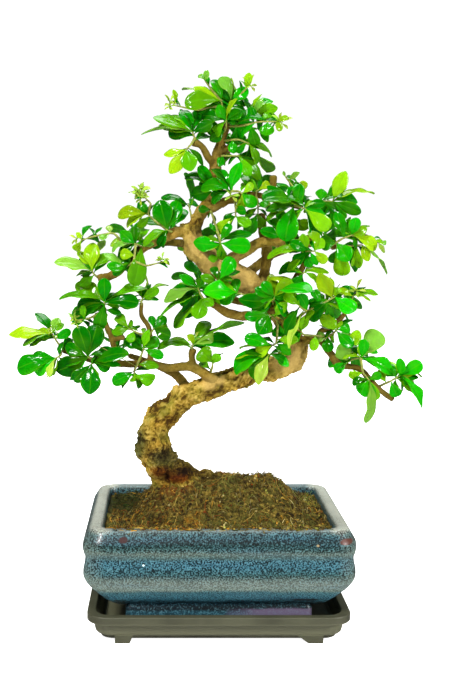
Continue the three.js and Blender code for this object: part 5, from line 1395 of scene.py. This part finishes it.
# %% Leaf colours
waxy_leaf, tree, shader = material_named("waxy_fukien_tea_leaf")
place = add(tree, "TexCoord").outputs["Object"]
own = add(tree, "Attribute", attribute_name="leaf_colour")
blade_values = add(tree, "Attribute", attribute_name="blade").outputs["Vector"]
across, along, upper = add(tree, "SeparateXYZ", {0: blade_values}).outputs
off_rib = add(tree, "Math", {0: across}, operation="ABSOLUTE")
rib = add(tree, "MapRange", {"Value": off_rib, "From Min": 0.09, "From Max": 0.02},
          interpolation_type="SMOOTHSTEP")
# Side veins: about fifteen on each side, 1 to 2 mm apart, leaning forward
outwards = add(tree, "Math", {0: off_rib, 1: 0.8}, operation="POWER")
lean = add(tree, "Math", {0: outwards, 1: 15.0}, operation="MULTIPLY")
onwards = add(tree, "Math", {0: along, 1: 46.0}, operation="MULTIPLY")
vein_phase = add(tree, "Math", {0: onwards, 1: lean}, operation="SUBTRACT")
vein_wave = add(tree, "Math", {0: vein_phase}, operation="COSINE")
vein_ridge = add(tree, "Math", {0: vein_wave}, operation="ABSOLUTE")
vein = add(tree, "Math", {0: vein_ridge, 1: 9.0}, operation="POWER")
mottle = add(tree, "TexNoise", {"Vector": place, "Scale": 260.0, "Detail": 4.0, "Roughness": 0.6})
mottle_light = add(tree, "ValToRGB", {"Fac": mottle}, [(0.25, 0.62), (0.75, 1.0)])
mottled = add(tree, "Mix", {0: 0.55, 6: own, 7: mottle_light},
              data_type="RGBA", blend_type="MULTIPLY").outputs[2]
# The rib and the veins are lighter and yellower than the blade
vein_share = add(tree, "Math", {0: vein, 1: 0.04}, operation="MULTIPLY")
rib_share = add(tree, "Math", {0: rib, 1: 0.2}, operation="MULTIPLY")
veined = add(tree, "Mix", {0: vein_share, 6: mottled, 7: linear("#4f9a10")}, data_type="RGBA").outputs[2]
ribbed = add(tree, "Mix", {0: rib_share, 6: veined, 7: linear("#5aa014")}, data_type="RGBA").outputs[2]
margin = add(tree, "MapRange", {"Value": off_rib, "From Min": 0.86, "From Max": 1.0, "To Max": 0.15})
edged = add(tree, "Mix", {0: margin, 6: ribbed, 7: linear("#84b010")}, data_type="RGBA").outputs[2]
under = add(tree, "Mix", {0: 0.2, 6: ribbed, 7: linear("#4a8418")}, data_type="RGBA").outputs[2]
both = add(tree, "Mix", {0: upper, 6: under, 7: edged}, data_type="RGBA").outputs[2]
# Leaves turn yellower in broad patches and towards the foot, as they do where light shines through
warmth = add(tree, "TexNoise", {"Vector": place, "Scale": 55.0, "Detail": 1.0})
tipwards = add(tree, "Math", {0: along, 1: 0.12}, operation="MULTIPLY")
warm_places = add(tree, "Math", {0: warmth, 1: tipwards}, operation="SUBTRACT")
warm_share = add(tree, "MapRange", {"Value": warm_places, "From Min": 0.38, "From Max": 0.62, "To Max": 0.1})
warmed = add(tree, "Mix", {0: warm_share, 6: both, 7: linear("#6f9a00")}, data_type="RGBA").outputs[2]
fill(tree, shader, {"Base Color": warmed})
print("colours of a leaf:", len(tree.nodes), "nodes")

# %% [markdown]
# ## Leaf gloss
#
# The wax is a thin clear coat over a blade that reflects little by itself. It is a bit rougher in some
# places than in others, which breaks up the streaks. Light also goes into a leaf and out again, and a
# little subsurface scattering makes the thin blades glow as they do against a white studio.

# %% Leaf gloss
gloss = add(tree, "TexNoise", {"Vector": place, "Scale": 500.0, "Detail": 2.0})
wax = add(tree, "MapRange", {"Value": gloss, "To Min": 0.1, "To Max": 0.17})
roughness = add(tree, "Mix", {0: upper, 2: 0.6, 3: wax})
sunk_vein = add(tree, "Math", {0: vein, 1: -0.5}, operation="MULTIPLY")
leaf_relief = add(tree, "Math", {0: sunk_vein, 1: mottle}, operation="ADD")
bump = add(tree, "Bump", {"Height": leaf_relief, "Distance": 0.00014, "Strength": 0.5})
fill(tree, shader, {"Roughness": roughness, "Normal": bump, "IOR": 1.45, "Specular IOR Level": 0.08,
                    "Coat Weight": 0.2, "Coat Roughness": 0.08, "Subsurface Weight": 0.12,
                    "Subsurface Radius": (0.4, 1.0, 0.15), "Subsurface Scale": 0.0015})

green_bark, tree, shader = material_named("green_shoot_bark")
place = add(tree, "TexCoord").outputs["Object"]
streaks = add(tree, "TexNoise", {"Vector": place, "Scale": 420.0, "Detail": 4.0})
tone = add(tree, "ValToRGB", {"Fac": streaks}, [(0.3, "#5a5a18"), (0.7, "#8f9a36")])
bump = add(tree, "Bump", {"Height": streaks, "Distance": 0.0003})
fill(tree, shader, {"Base Color": tone, "Roughness": 0.6, "Normal": bump})

for piece in foliage.values():
    piece.data.materials.append(waxy_leaf)
    piece.data.materials.append(green_bark)
    kinds = np.empty(len(piece.data.polygons), int)
    piece.data.attributes["kind"].data.foreach_get("value", kinds)
    piece.data.polygons.foreach_set("material_index", kinds)
print("leaf and shoot finish on", len(foliage), "sprays")

# %% [markdown]
# ## Bark finish
#
# Old bark of this tree is corky, tan and finely cracked, and greener where it stays damp at the foot. It is
# dark in the pits and pale on the ridges, partly its own colour and partly painted shade and light. The
# relief that was raised on the mesh is kept as a value at each point, so the painted dark lies in the real
# hollows. A bump adds the grain below a millimetre.

# %% Bark colours
corky_bark, tree, shader = material_named("corky_tan_bark")
place = add(tree, "TexCoord").outputs["Object"]
cork_values = add(tree, "Attribute", attribute_name="bark").outputs["Vector"]
girth, light, smooth = add(tree, "SeparateXYZ", {0: cork_values}).outputs
patches = add(tree, "TexNoise", {"Vector": place, "Scale": 75.0, "Detail": 2.0})
grain = add(tree, "TexNoise", {"Vector": place, "Scale": 700.0, "Detail": 4.0, "Roughness": 0.7})
hue = add(tree, "SeparateColor", {0: patches.outputs["Color"]}).outputs
grain_sway = add(tree, "Math", {0: grain, 1: 0.5}, operation="SUBTRACT")
grain_light = add(tree, "Math", {0: grain_sway, 1: 0.5}, operation="MULTIPLY")
cork_light = add(tree, "Math", {0: light, 1: grain_light}, operation="ADD")
cork = add(tree, "ValToRGB", {"Fac": cork_light},
           [(0.08, "#4a360c"), (0.9, "#ccb674"), (0.3, "#8c7428"), (0.48, "#ac9244"), (0.66, "#bca458")])
# The cork is ochre in some places and grey-olive in others, with moss in a few hollows
ochre_share = add(tree, "MapRange", {"Value": hue[0], "From Min": 0.45, "From Max": 0.65, "To Max": 0.45})
ochre = add(tree, "Mix", {0: ochre_share, 6: cork, 7: linear("#eec878")},
            data_type="RGBA", blend_type="MULTIPLY").outputs[2]
moss_share = add(tree, "MapRange", {"Value": hue[1], "From Min": 0.5, "From Max": 0.72, "To Max": 0.6})
mossy = add(tree, "Mix", {0: moss_share, 6: ochre, 7: linear("#6b6c1c")}, data_type="RGBA").outputs[2]
# Broad painted shade, darker on one lump and lighter on the next, in random patches about 13 mm across
patch_shade = add(tree, "ValToRGB", {"Fac": hue[2]}, [(0.4, 0.5), (0.6, 1.0)])
shaded = add(tree, "Mix", {0: 0.5, 6: mossy, 7: patch_shade},
             data_type="RGBA", blend_type="MULTIPLY").outputs[2]
smooth_tone = add(tree, "ValToRGB", {"Fac": cork_light}, [(0.25, "#9c8244"), (0.75, "#bc9f5c")])
smooth_share = add(tree, "Math", {0: smooth, 1: 0.9}, operation="MULTIPLY")
barked = add(tree, "Mix", {0: smooth_share, 6: shaded, 7: smooth_tone}, data_type="RGBA").outputs[2]
print("cork:", len(tree.nodes), "nodes")

# %% [markdown]
# ## Bark: the stains
#
# Damp, moss and rust from the soil stain the foot of the trunk. They lie where the photograph shows
# them, as ragged ovals that filter the colour of the cork, since a stain lets the bark show through.

# %% Bark stains
# The places as in the lists of the wood: x, z, half width, half height and the colour that they filter
BARK_STAINS = [
    (-41, 117, 17, 10, "#7f8bb4"), (-65, 127, 8, 16, "#9ab4d8"), (-18, 109, 15, 8, "#9ca298"),
    (-36, 104, 20, 7, "#8c7458"), (-46, 107, 10, 5, "#ecb478"), (-31, 100, 10, 4, "#e8a86c"),
    (-2, 98, 17, 9, "#7a786c"),
]
LISTED_LOWER = EYE[2] - EYE_LISTED[1]


def oval_distance(tree, axes, middle, halves):
    """How far a place is from the middle of an oval, squared, with 1 at its edge. Sizes are in mm."""
    squares = []
    for axis, centre, half in zip(axes, middle, halves):
        off = add(tree, "Math", {0: axis, 1: centre * MM}, operation="SUBTRACT")
        share = add(tree, "Math", {0: off, 1: half * MM}, operation="DIVIDE")
        squares.append(add(tree, "Math", {0: share, 1: share}, operation="MULTIPLY"))
    return add(tree, "Math", dict(enumerate(squares)), operation="ADD")


grain_edge = add(tree, "Math", {0: grain, 1: 1.8}, operation="MULTIPLY")
axes = add(tree, "SeparateXYZ", {0: place}).outputs
for x, z, half_x, half_z, colour in BARK_STAINS:
    away = oval_distance(tree, (axes[0], axes[2]), (x, z + LISTED_LOWER), (half_x, half_z))
    wavy = add(tree, "Math", {0: away, 1: hue[1]}, operation="ADD")
    ragged = add(tree, "Math", {0: wavy, 1: grain_edge}, operation="ADD")
    stain_share = add(tree, "MapRange", {"Value": ragged, "From Min": 2.7, "From Max": 1.6})
    barked = add(tree, "Mix", {0: stain_share, 6: barked, 7: linear(colour)},
                 data_type="RGBA", blend_type="MULTIPLY").outputs[2]
# Twigs of less than 7 mm radius have a thinner, darker bark
tone_shift = add(tree, "MapRange", {"Value": girth, "From Min": 7.0, "From Max": 3.0, "To Max": 0.8})
aged = add(tree, "Mix", {0: tone_shift, 6: barked, 7: linear("#463a06")}, data_type="RGBA").outputs[2]
bump = add(tree, "Bump", {"Height": grain, "Distance": 0.0006, "Strength": 0.9})
fill(tree, shader, {"Base Color": aged, "Roughness": 0.85, "Specular IOR Level": 0.1, "Normal": bump})
wood.data.materials.append(corky_bark)
print(len(BARK_STAINS), "stains on the bark")

# %% [markdown]
# ## Soil finish
#
# Damp peat is nearly black between brown crumbs, with moss in some places. A noise of a few millimetres
# makes the crumbs, and a broad one the moss. Stains darken the damp corner on the left, and redden the
# soil round the roots. The fibres and crumbs on it carry their own colours, and noise shades them.

# %% Soil materials
peat, tree, shader = material_named("damp_peaty_soil")
place = add(tree, "TexCoord").outputs["Object"]
clods = add(tree, "TexNoise", {"Vector": place, "Scale": 300.0, "Detail": 5.0, "Roughness": 0.75})
clod_tone = add(tree, "ValToRGB", {"Fac": clods}, [(0.38, "#120c03"), (0.64, "#8c7630"), (0.5, "#4c4016")])
drift = add(tree, "TexNoise", {"Vector": place, "Scale": 45.0, "Detail": 2.0}).outputs["Color"]
drift_parts = add(tree, "SeparateColor", {0: drift}).outputs
moss_share = add(tree, "MapRange", {"Value": drift_parts[0], "From Min": 0.48, "From Max": 0.62,
                                    "To Max": 0.5})
stained = add(tree, "Mix", {0: moss_share, 6: clod_tone, 7: linear("#4e5220")}, data_type="RGBA").outputs[2]
# Stains: x and y in millimetres, half width, half depth and colour
SOIL_STAINS = [(-20, -50, 8, 8, "#80601c"), (-80, 30, 24, 40, "#1d2410"), (-58, -46, 5, 6, "#0a0806"),
               (-34, -14, 14, 12, "#6a3a10")]
clod_edge = add(tree, "Math", {0: clods, 1: 1.2}, operation="MULTIPLY")
axes = add(tree, "SeparateXYZ", {0: place}).outputs
for x, y, half_x, half_y, colour in SOIL_STAINS:
    away = oval_distance(tree, (axes[0], axes[1]), (x, y), (half_x, half_y))
    ragged = add(tree, "Math", {0: away, 1: clod_edge}, operation="ADD")
    stain_share = add(tree, "MapRange", {"Value": ragged, "From Min": 1.9, "From Max": 1.1, "To Max": 0.7})
    stained = add(tree, "Mix", {0: stain_share, 6: stained, 7: linear(colour)}, data_type="RGBA").outputs[2]
bump = add(tree, "Bump", {"Height": clods, "Distance": 0.0022, "Strength": 1.0})
fill(tree, shader, {"Base Color": stained, "Roughness": 0.95, "Specular IOR Level": 0.15, "Normal": bump})
soil.data.materials.append(peat)

root_fibre, tree, shader = material_named("root_and_moss_litter")
place = add(tree, "TexCoord").outputs["Object"]
own = add(tree, "Attribute", attribute_name="litter_colour")
tint = add(tree, "TexNoise", {"Vector": place, "Scale": 400.0, "Detail": 3.0})
shade = add(tree, "ValToRGB", {"Fac": tint}, [(0.3, 0.5), (0.65, 1.0)])
tone = add(tree, "Mix", {0: 0.8, 6: own, 7: shade}, data_type="RGBA", blend_type="MULTIPLY").outputs[2]
fill(tree, shader, {"Base Color": tone, "Roughness": 0.85, "Specular IOR Level": 0.15})
fibres.data.materials.append(root_fibre)
crumbs.data.materials.append(root_fibre)
print(len(SOIL_STAINS), "stains on the soil")

# %% [markdown]
# ## Glaze: the bands
#
# The pot is stoneware under a running blue glaze. Where the glaze lies thick, in the grooves, it turns a
# milky green-grey, where it runs thin over the bulges the dark body shows through in specks, and at the
# rim and the corners it broke to pale grey. Just above the foot strips, where the body overhangs them, a
# near-black band is painted shade. All of that depends on height and on the distance from a corner, so
# the pattern reads the place on the pot.

# %% Glaze bands
GLAZE_LOW, GLAZE_HIGH = 18, 94
# Height in millimetres and colour, from the foot strips up to the bare pale rim, the two ends first.
# The near-black stop at 24.6 mm, up to the body at 31 mm, is painted shade under the overhanging body
GLAZE_AND_SHADE_LEVELS = [
    (18, "#234650"), (94, "#c4bba2"), (23, "#264c56"), (24.6, "#04080a"), (31, "#1c3c46"), (34, "#386e7e"),
    (38, "#417484"), (42.6, "#47747a"), (45, "#75857a"), (50, "#6c786f"), (54, "#5c6b63"), (56.6, "#485c56"),
    (58.6, "#2b4f4e"), (65, "#30606e"), (69.6, "#33606b"), (71.4, "#3c5957"), (75.4, "#566459"),
    (77.6, "#3a5551"), (80, "#22423f"), (83, "#173234"), (86, "#203b42"), (88, "#2b4e52"), (90.6, "#506260"),
]


def glaze_stops(levels):
    """The stops of a ramp from a list of heights in millimetres."""
    return [((height - GLAZE_LOW) / (GLAZE_HIGH - GLAZE_LOW), value) for height, value in levels]


speckled_glaze, tree, shader = material_named("speckled_blue_stoneware_glaze")
place = add(tree, "TexCoord").outputs["Object"]
axes = add(tree, "SeparateXYZ", {0: place}).outputs
# The bands waver by a few millimetres up and down
wobble = add(tree, "TexNoise", {"Vector": place, "Scale": 60.0, "Detail": 3.0})
height_mm = add(tree, "Math", {0: axes[2], 1: 1000.0}, operation="MULTIPLY")
sway = add(tree, "Math", {0: wobble, 1: 0.5}, operation="SUBTRACT")
sway_mm = add(tree, "Math", {0: sway, 1: 4.0}, operation="MULTIPLY")
level_mm = add(tree, "Math", {0: height_mm, 1: sway_mm}, operation="ADD")
share_up = add(tree, "MapRange", {"Value": level_mm, "From Min": GLAZE_LOW, "From Max": GLAZE_HIGH})
bands_and_shade = add(tree, "ValToRGB", {"Fac": share_up}, glaze_stops(GLAZE_AND_SHADE_LEVELS))
# The glaze ran sideways in streaks a few millimetres high and several centimetres long
stretched = add(tree, "VectorMath", {0: place, 1: (12.0, 12.0, 160.0)}, operation="MULTIPLY")
streak = add(tree, "TexNoise", {"Vector": stretched, "Scale": 1.0, "Detail": 3.0})
streak_share = add(tree, "MapRange", {"Value": streak, "From Min": 0.45, "From Max": 0.7, "To Max": 0.4})
streaked = add(tree, "Mix", {0: streak_share, 6: bands_and_shade, 7: linear("#215065")}, data_type="RGBA").outputs[2]
# Thinner and greyer at the corners of the pot
off_middle = add(tree, "Math", {0: axes[0]}, operation="ABSOLUTE")
corner_x = add(tree, "MapRange", {"Value": off_middle, "From Min": 0.088, "From Max": 0.103})
corner_share = add(tree, "Math", {0: corner_x, 1: 0.5}, operation="MULTIPLY")
greyed = add(tree, "Mix", {0: corner_share, 6: streaked, 7: linear("#717d6f")}, data_type="RGBA").outputs[2]
print(len(GLAZE_AND_SHADE_LEVELS), "levels of glaze")

# %% [markdown]
# ## Glaze: the rim and the specks
#
# The top of the rim is bare and pale at its sides and bluer in the middle, where the glaze reached it.
# Dark specks of iron and pale glints lie all over, strong in the blue and faint where the glaze is
# milky. The specks are 1 mm wide, twice their real size, so that they show at this distance.

# %% Glaze rim and specks
# Height in millimetres and strength of the specks, the two ends first
SPECK_LEVELS = [
    (18, 0.6), (94, 0.2), (26, 0.6), (30, 0.95), (43, 0.95), (46, 0.6), (54, 0.6), (57, 0.95),
    (69.5, 0.95), (71.5, 0.55), (75.5, 0.6), (78, 1.0), (90, 0.95), (92.5, 0.2),
]
side_rim = add(tree, "MapRange", {"Value": off_middle, "From Min": 0.082, "From Max": 0.09})
middle_rim = add(tree, "Math", {0: 1.0, 1: side_rim}, operation="SUBTRACT")
on_top = add(tree, "MapRange", {"Value": level_mm, "From Min": 90.0, "From Max": 91.5, "To Max": 0.8})
blue_share = add(tree, "Math", {0: on_top, 1: middle_rim}, operation="MULTIPLY")
toned_rim = add(tree, "Mix", {0: blue_share, 6: greyed, 7: linear("#44585a")}, data_type="RGBA").outputs[2]
bare_top = add(tree, "MapRange", {"Value": axes[2], "From Min": 0.0885, "From Max": 0.0915, "To Max": 0.85})
bare_share = add(tree, "Math", {0: bare_top, 1: side_rim}, operation="MULTIPLY")
pale_rim = add(tree, "Mix", {0: bare_share, 6: toned_rim, 7: linear("#aaac9e")}, data_type="RGBA").outputs[2]
specks = add(tree, "TexNoise", {"Vector": place, "Scale": 840.0, "Detail": 1.5, "Roughness": 0.6})
speck_light = add(tree, "ValToRGB", {"Fac": specks}, [(0.445, 0.0), (0.53, 1.0)])
speck_share = add(tree, "ValToRGB", {"Fac": share_up}, glaze_stops(SPECK_LEVELS))
specked = add(tree, "Mix", {0: speck_share, 6: pale_rim, 7: speck_light},
              data_type="RGBA", blend_type="MULTIPLY").outputs[2]
glints = add(tree, "MapRange", {"Value": specks, "From Min": 0.55, "From Max": 0.68, "To Max": 0.45})
glaze_tone = add(tree, "Mix", {0: glints, 6: specked, 7: linear("#618992")}, data_type="RGBA").outputs[2]
print("rim and specks:", len(tree.nodes), "nodes")

# %% [markdown]
# ## Glaze: spots and gloss
#
# A few spots tell this pot from the next: burnt places and a bare chip, and on the front a small white
# painted highlight.
# They are placed one by one, as ovals with a wavering edge. The gloss is that of a fired glaze which
# has weathered: rather rough, with a thin clear coat for the lamps, and a slight bump from the specks.

# %% Glaze spots and gloss
# Bare and burnt spots, and one white painted highlight: x, height, half width and half height in millimetres,
# and colour
GLAZE_SPOTS_AND_HIGHLIGHT = [
    (-74.1, 85.6, 3.6, 2.5, "#2e0806"), (95.5, 84.0, 5.6, 2.1, "#4a2418"), (30.7, 88.8, 1.6, 1.1, "#0a0f12"),
    # The small white spot at x -58.9 mm is a painted highlight
    (73.3, 81.8, 1.3, 1.0, "#8c7a5a"), (-58.9, 66.2, 0.8, 0.7, "#e8efee"), (66.6, 33.9, 12.5, 1.3, "#15110c"),
]
front = add(tree, "MapRange", {"Value": axes[1], "From Min": -0.05, "From Max": -0.055})
for x, z, half_x, half_z, colour in GLAZE_SPOTS_AND_HIGHLIGHT:
    away = oval_distance(tree, (axes[0], axes[2]), (x, z), (half_x, half_z))
    wavy = add(tree, "Math", {0: away, 1: wobble}, operation="ADD")
    spot = add(tree, "MapRange", {"Value": wavy, "From Min": 1.7, "From Max": 1.2, "To Max": 0.95})
    front_spot = add(tree, "Math", {0: spot, 1: front}, operation="MULTIPLY")
    glaze_tone = add(tree, "Mix", {0: front_spot, 6: glaze_tone, 7: linear(colour)},
                     data_type="RGBA").outputs[2]
# On the right half of the foot strips the glaze fired to a purple pink
strip_low = add(tree, "MapRange", {"Value": level_mm, "From Min": 26.0, "From Max": 24.5})
strip_edge = add(tree, "Math", {0: wobble, 1: 0.04}, operation="MULTIPLY")
rightwards = add(tree, "Math", {0: axes[0], 1: strip_edge}, operation="ADD")
strip_right = add(tree, "MapRange", {"Value": rightwards, "From Min": 0.025, "From Max": 0.05,
                                     "To Max": 0.75})
pink_share = add(tree, "Math", {0: strip_low, 1: strip_right}, operation="MULTIPLY")
glaze_tone = add(tree, "Mix", {0: pink_share, 6: glaze_tone, 7: linear("#65566e")},
                 data_type="RGBA").outputs[2]
bump = add(tree, "Bump", {"Height": specks, "Distance": 0.00015, "Strength": 0.5})
fill(tree, shader, {"Base Color": glaze_tone, "Roughness": 0.38, "IOR": 1.5, "Specular IOR Level": 0.35,
                    "Coat Weight": 0.05, "Coat Roughness": 0.06, "Normal": bump})
for piece in (pot, feet):
    piece.data.materials.clear()
    piece.data.materials.append(speckled_glaze)
    piece.data.polygons.foreach_set("use_smooth", [True] * len(piece.data.polygons))
print(len(GLAZE_SPOTS_AND_HIGHLIGHT), "spots on the glaze")

# %% [markdown]
# ## Plastic
#
# The tray is moulded polypropylene, a dark grey-green, with the soft sheen of a blasted mould. Its skirt,
# below the ledge, is painted lighter, as painted light thrown up from the white paper. The net over the
# drain holes is the same kind of plastic, in black. One function makes both, because they differ only in
# colour and sheen.

# %% Plastic materials
def moulded(name, dark, light, floor_bounce_colour, roughness):
    """A moulded plastic with a fine blasted texture of about 0.5 mm."""
    material, tree, shader = material_named(name)
    place = add(tree, "TexCoord").outputs["Object"]
    cloud = add(tree, "TexNoise", {"Vector": place, "Scale": 40.0, "Detail": 4.0})
    tone = add(tree, "ValToRGB", {"Fac": cloud}, [(0.35, dark), (0.65, light)])
    # Painted light below the ledge, 6 to 18 mm up: the skirt is made lighter, as if lit from the paper below
    height = add(tree, "SeparateXYZ", {0: place}).outputs[2]
    skirt = add(tree, "MapRange", {"Value": height, "From Min": 0.0182, "From Max": 0.0172})
    floor_end = add(tree, "MapRange", {"Value": height, "From Min": 0.0058, "From Max": 0.0068})
    painted_bounce_share = add(tree, "Math", {0: skirt, 1: floor_end}, operation="MULTIPLY")
    bounce_lit_tone = add(tree, "Mix", {0: painted_bounce_share, 6: tone, 7: linear(floor_bounce_colour)}, data_type="RGBA").outputs[2]
    blasted = add(tree, "TexNoise", {"Vector": place, "Scale": 1800.0, "Detail": 2.0})
    bump = add(tree, "Bump", {"Height": blasted, "Distance": 0.00008, "Strength": 0.5})
    fill(tree, shader, {"Base Color": bounce_lit_tone, "Roughness": roughness, "IOR": 1.49, "Normal": bump})
    return material


# The third colour is the painted light on the skirt, as if thrown up from the white paper
tray_plastic = moulded("moulded_grey_green_polypropylene", "#393927", "#464632", "#56563f", 0.55)
net_plastic = moulded("moulded_black_net", "#1b1c1b", "#2a2b29", "#2a2b29", 0.5)
tray.data.materials.append(tray_plastic)
for side in ("left", "right"):
    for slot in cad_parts[f"drain_mesh_{side}"].material_slots:
        slot.material = net_plastic
print(len(bpy.data.materials), "materials in all")

# %% [markdown]
# ## What stands for what
#
# Every piece rides on the row's one body and replaces the CAD solid that it repeats. The foot strips,
# fibres and crumbs only add to a solid. The drain meshes keep their CAD shape.

# %% Tie the pieces to the CAD
for piece, slot, node in ((pot, "glaze", "pot"), (tray, "tray", "drip_tray"), (soil, "soil", "soil"),
                          (wood, "bark", "trunk")):
    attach(piece, "root")
    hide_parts(node)
for piece, slot in ((feet, "glaze"), (fibres, "soil"), (crumbs, "soil")):
    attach(piece, "root")
for name, piece in foliage.items():
    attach(piece, "root")
    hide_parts(f"spray_{name}")


def corners(box):
    """The two corners of a box as lists of plain numbers."""
    return [[float(value) for value in corner] for corner in box]


{"cad": corners(CAD_BOX), "visual": corners(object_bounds())}
print("CAD box", corners(CAD_BOX))
print("visual box", corners(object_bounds()))
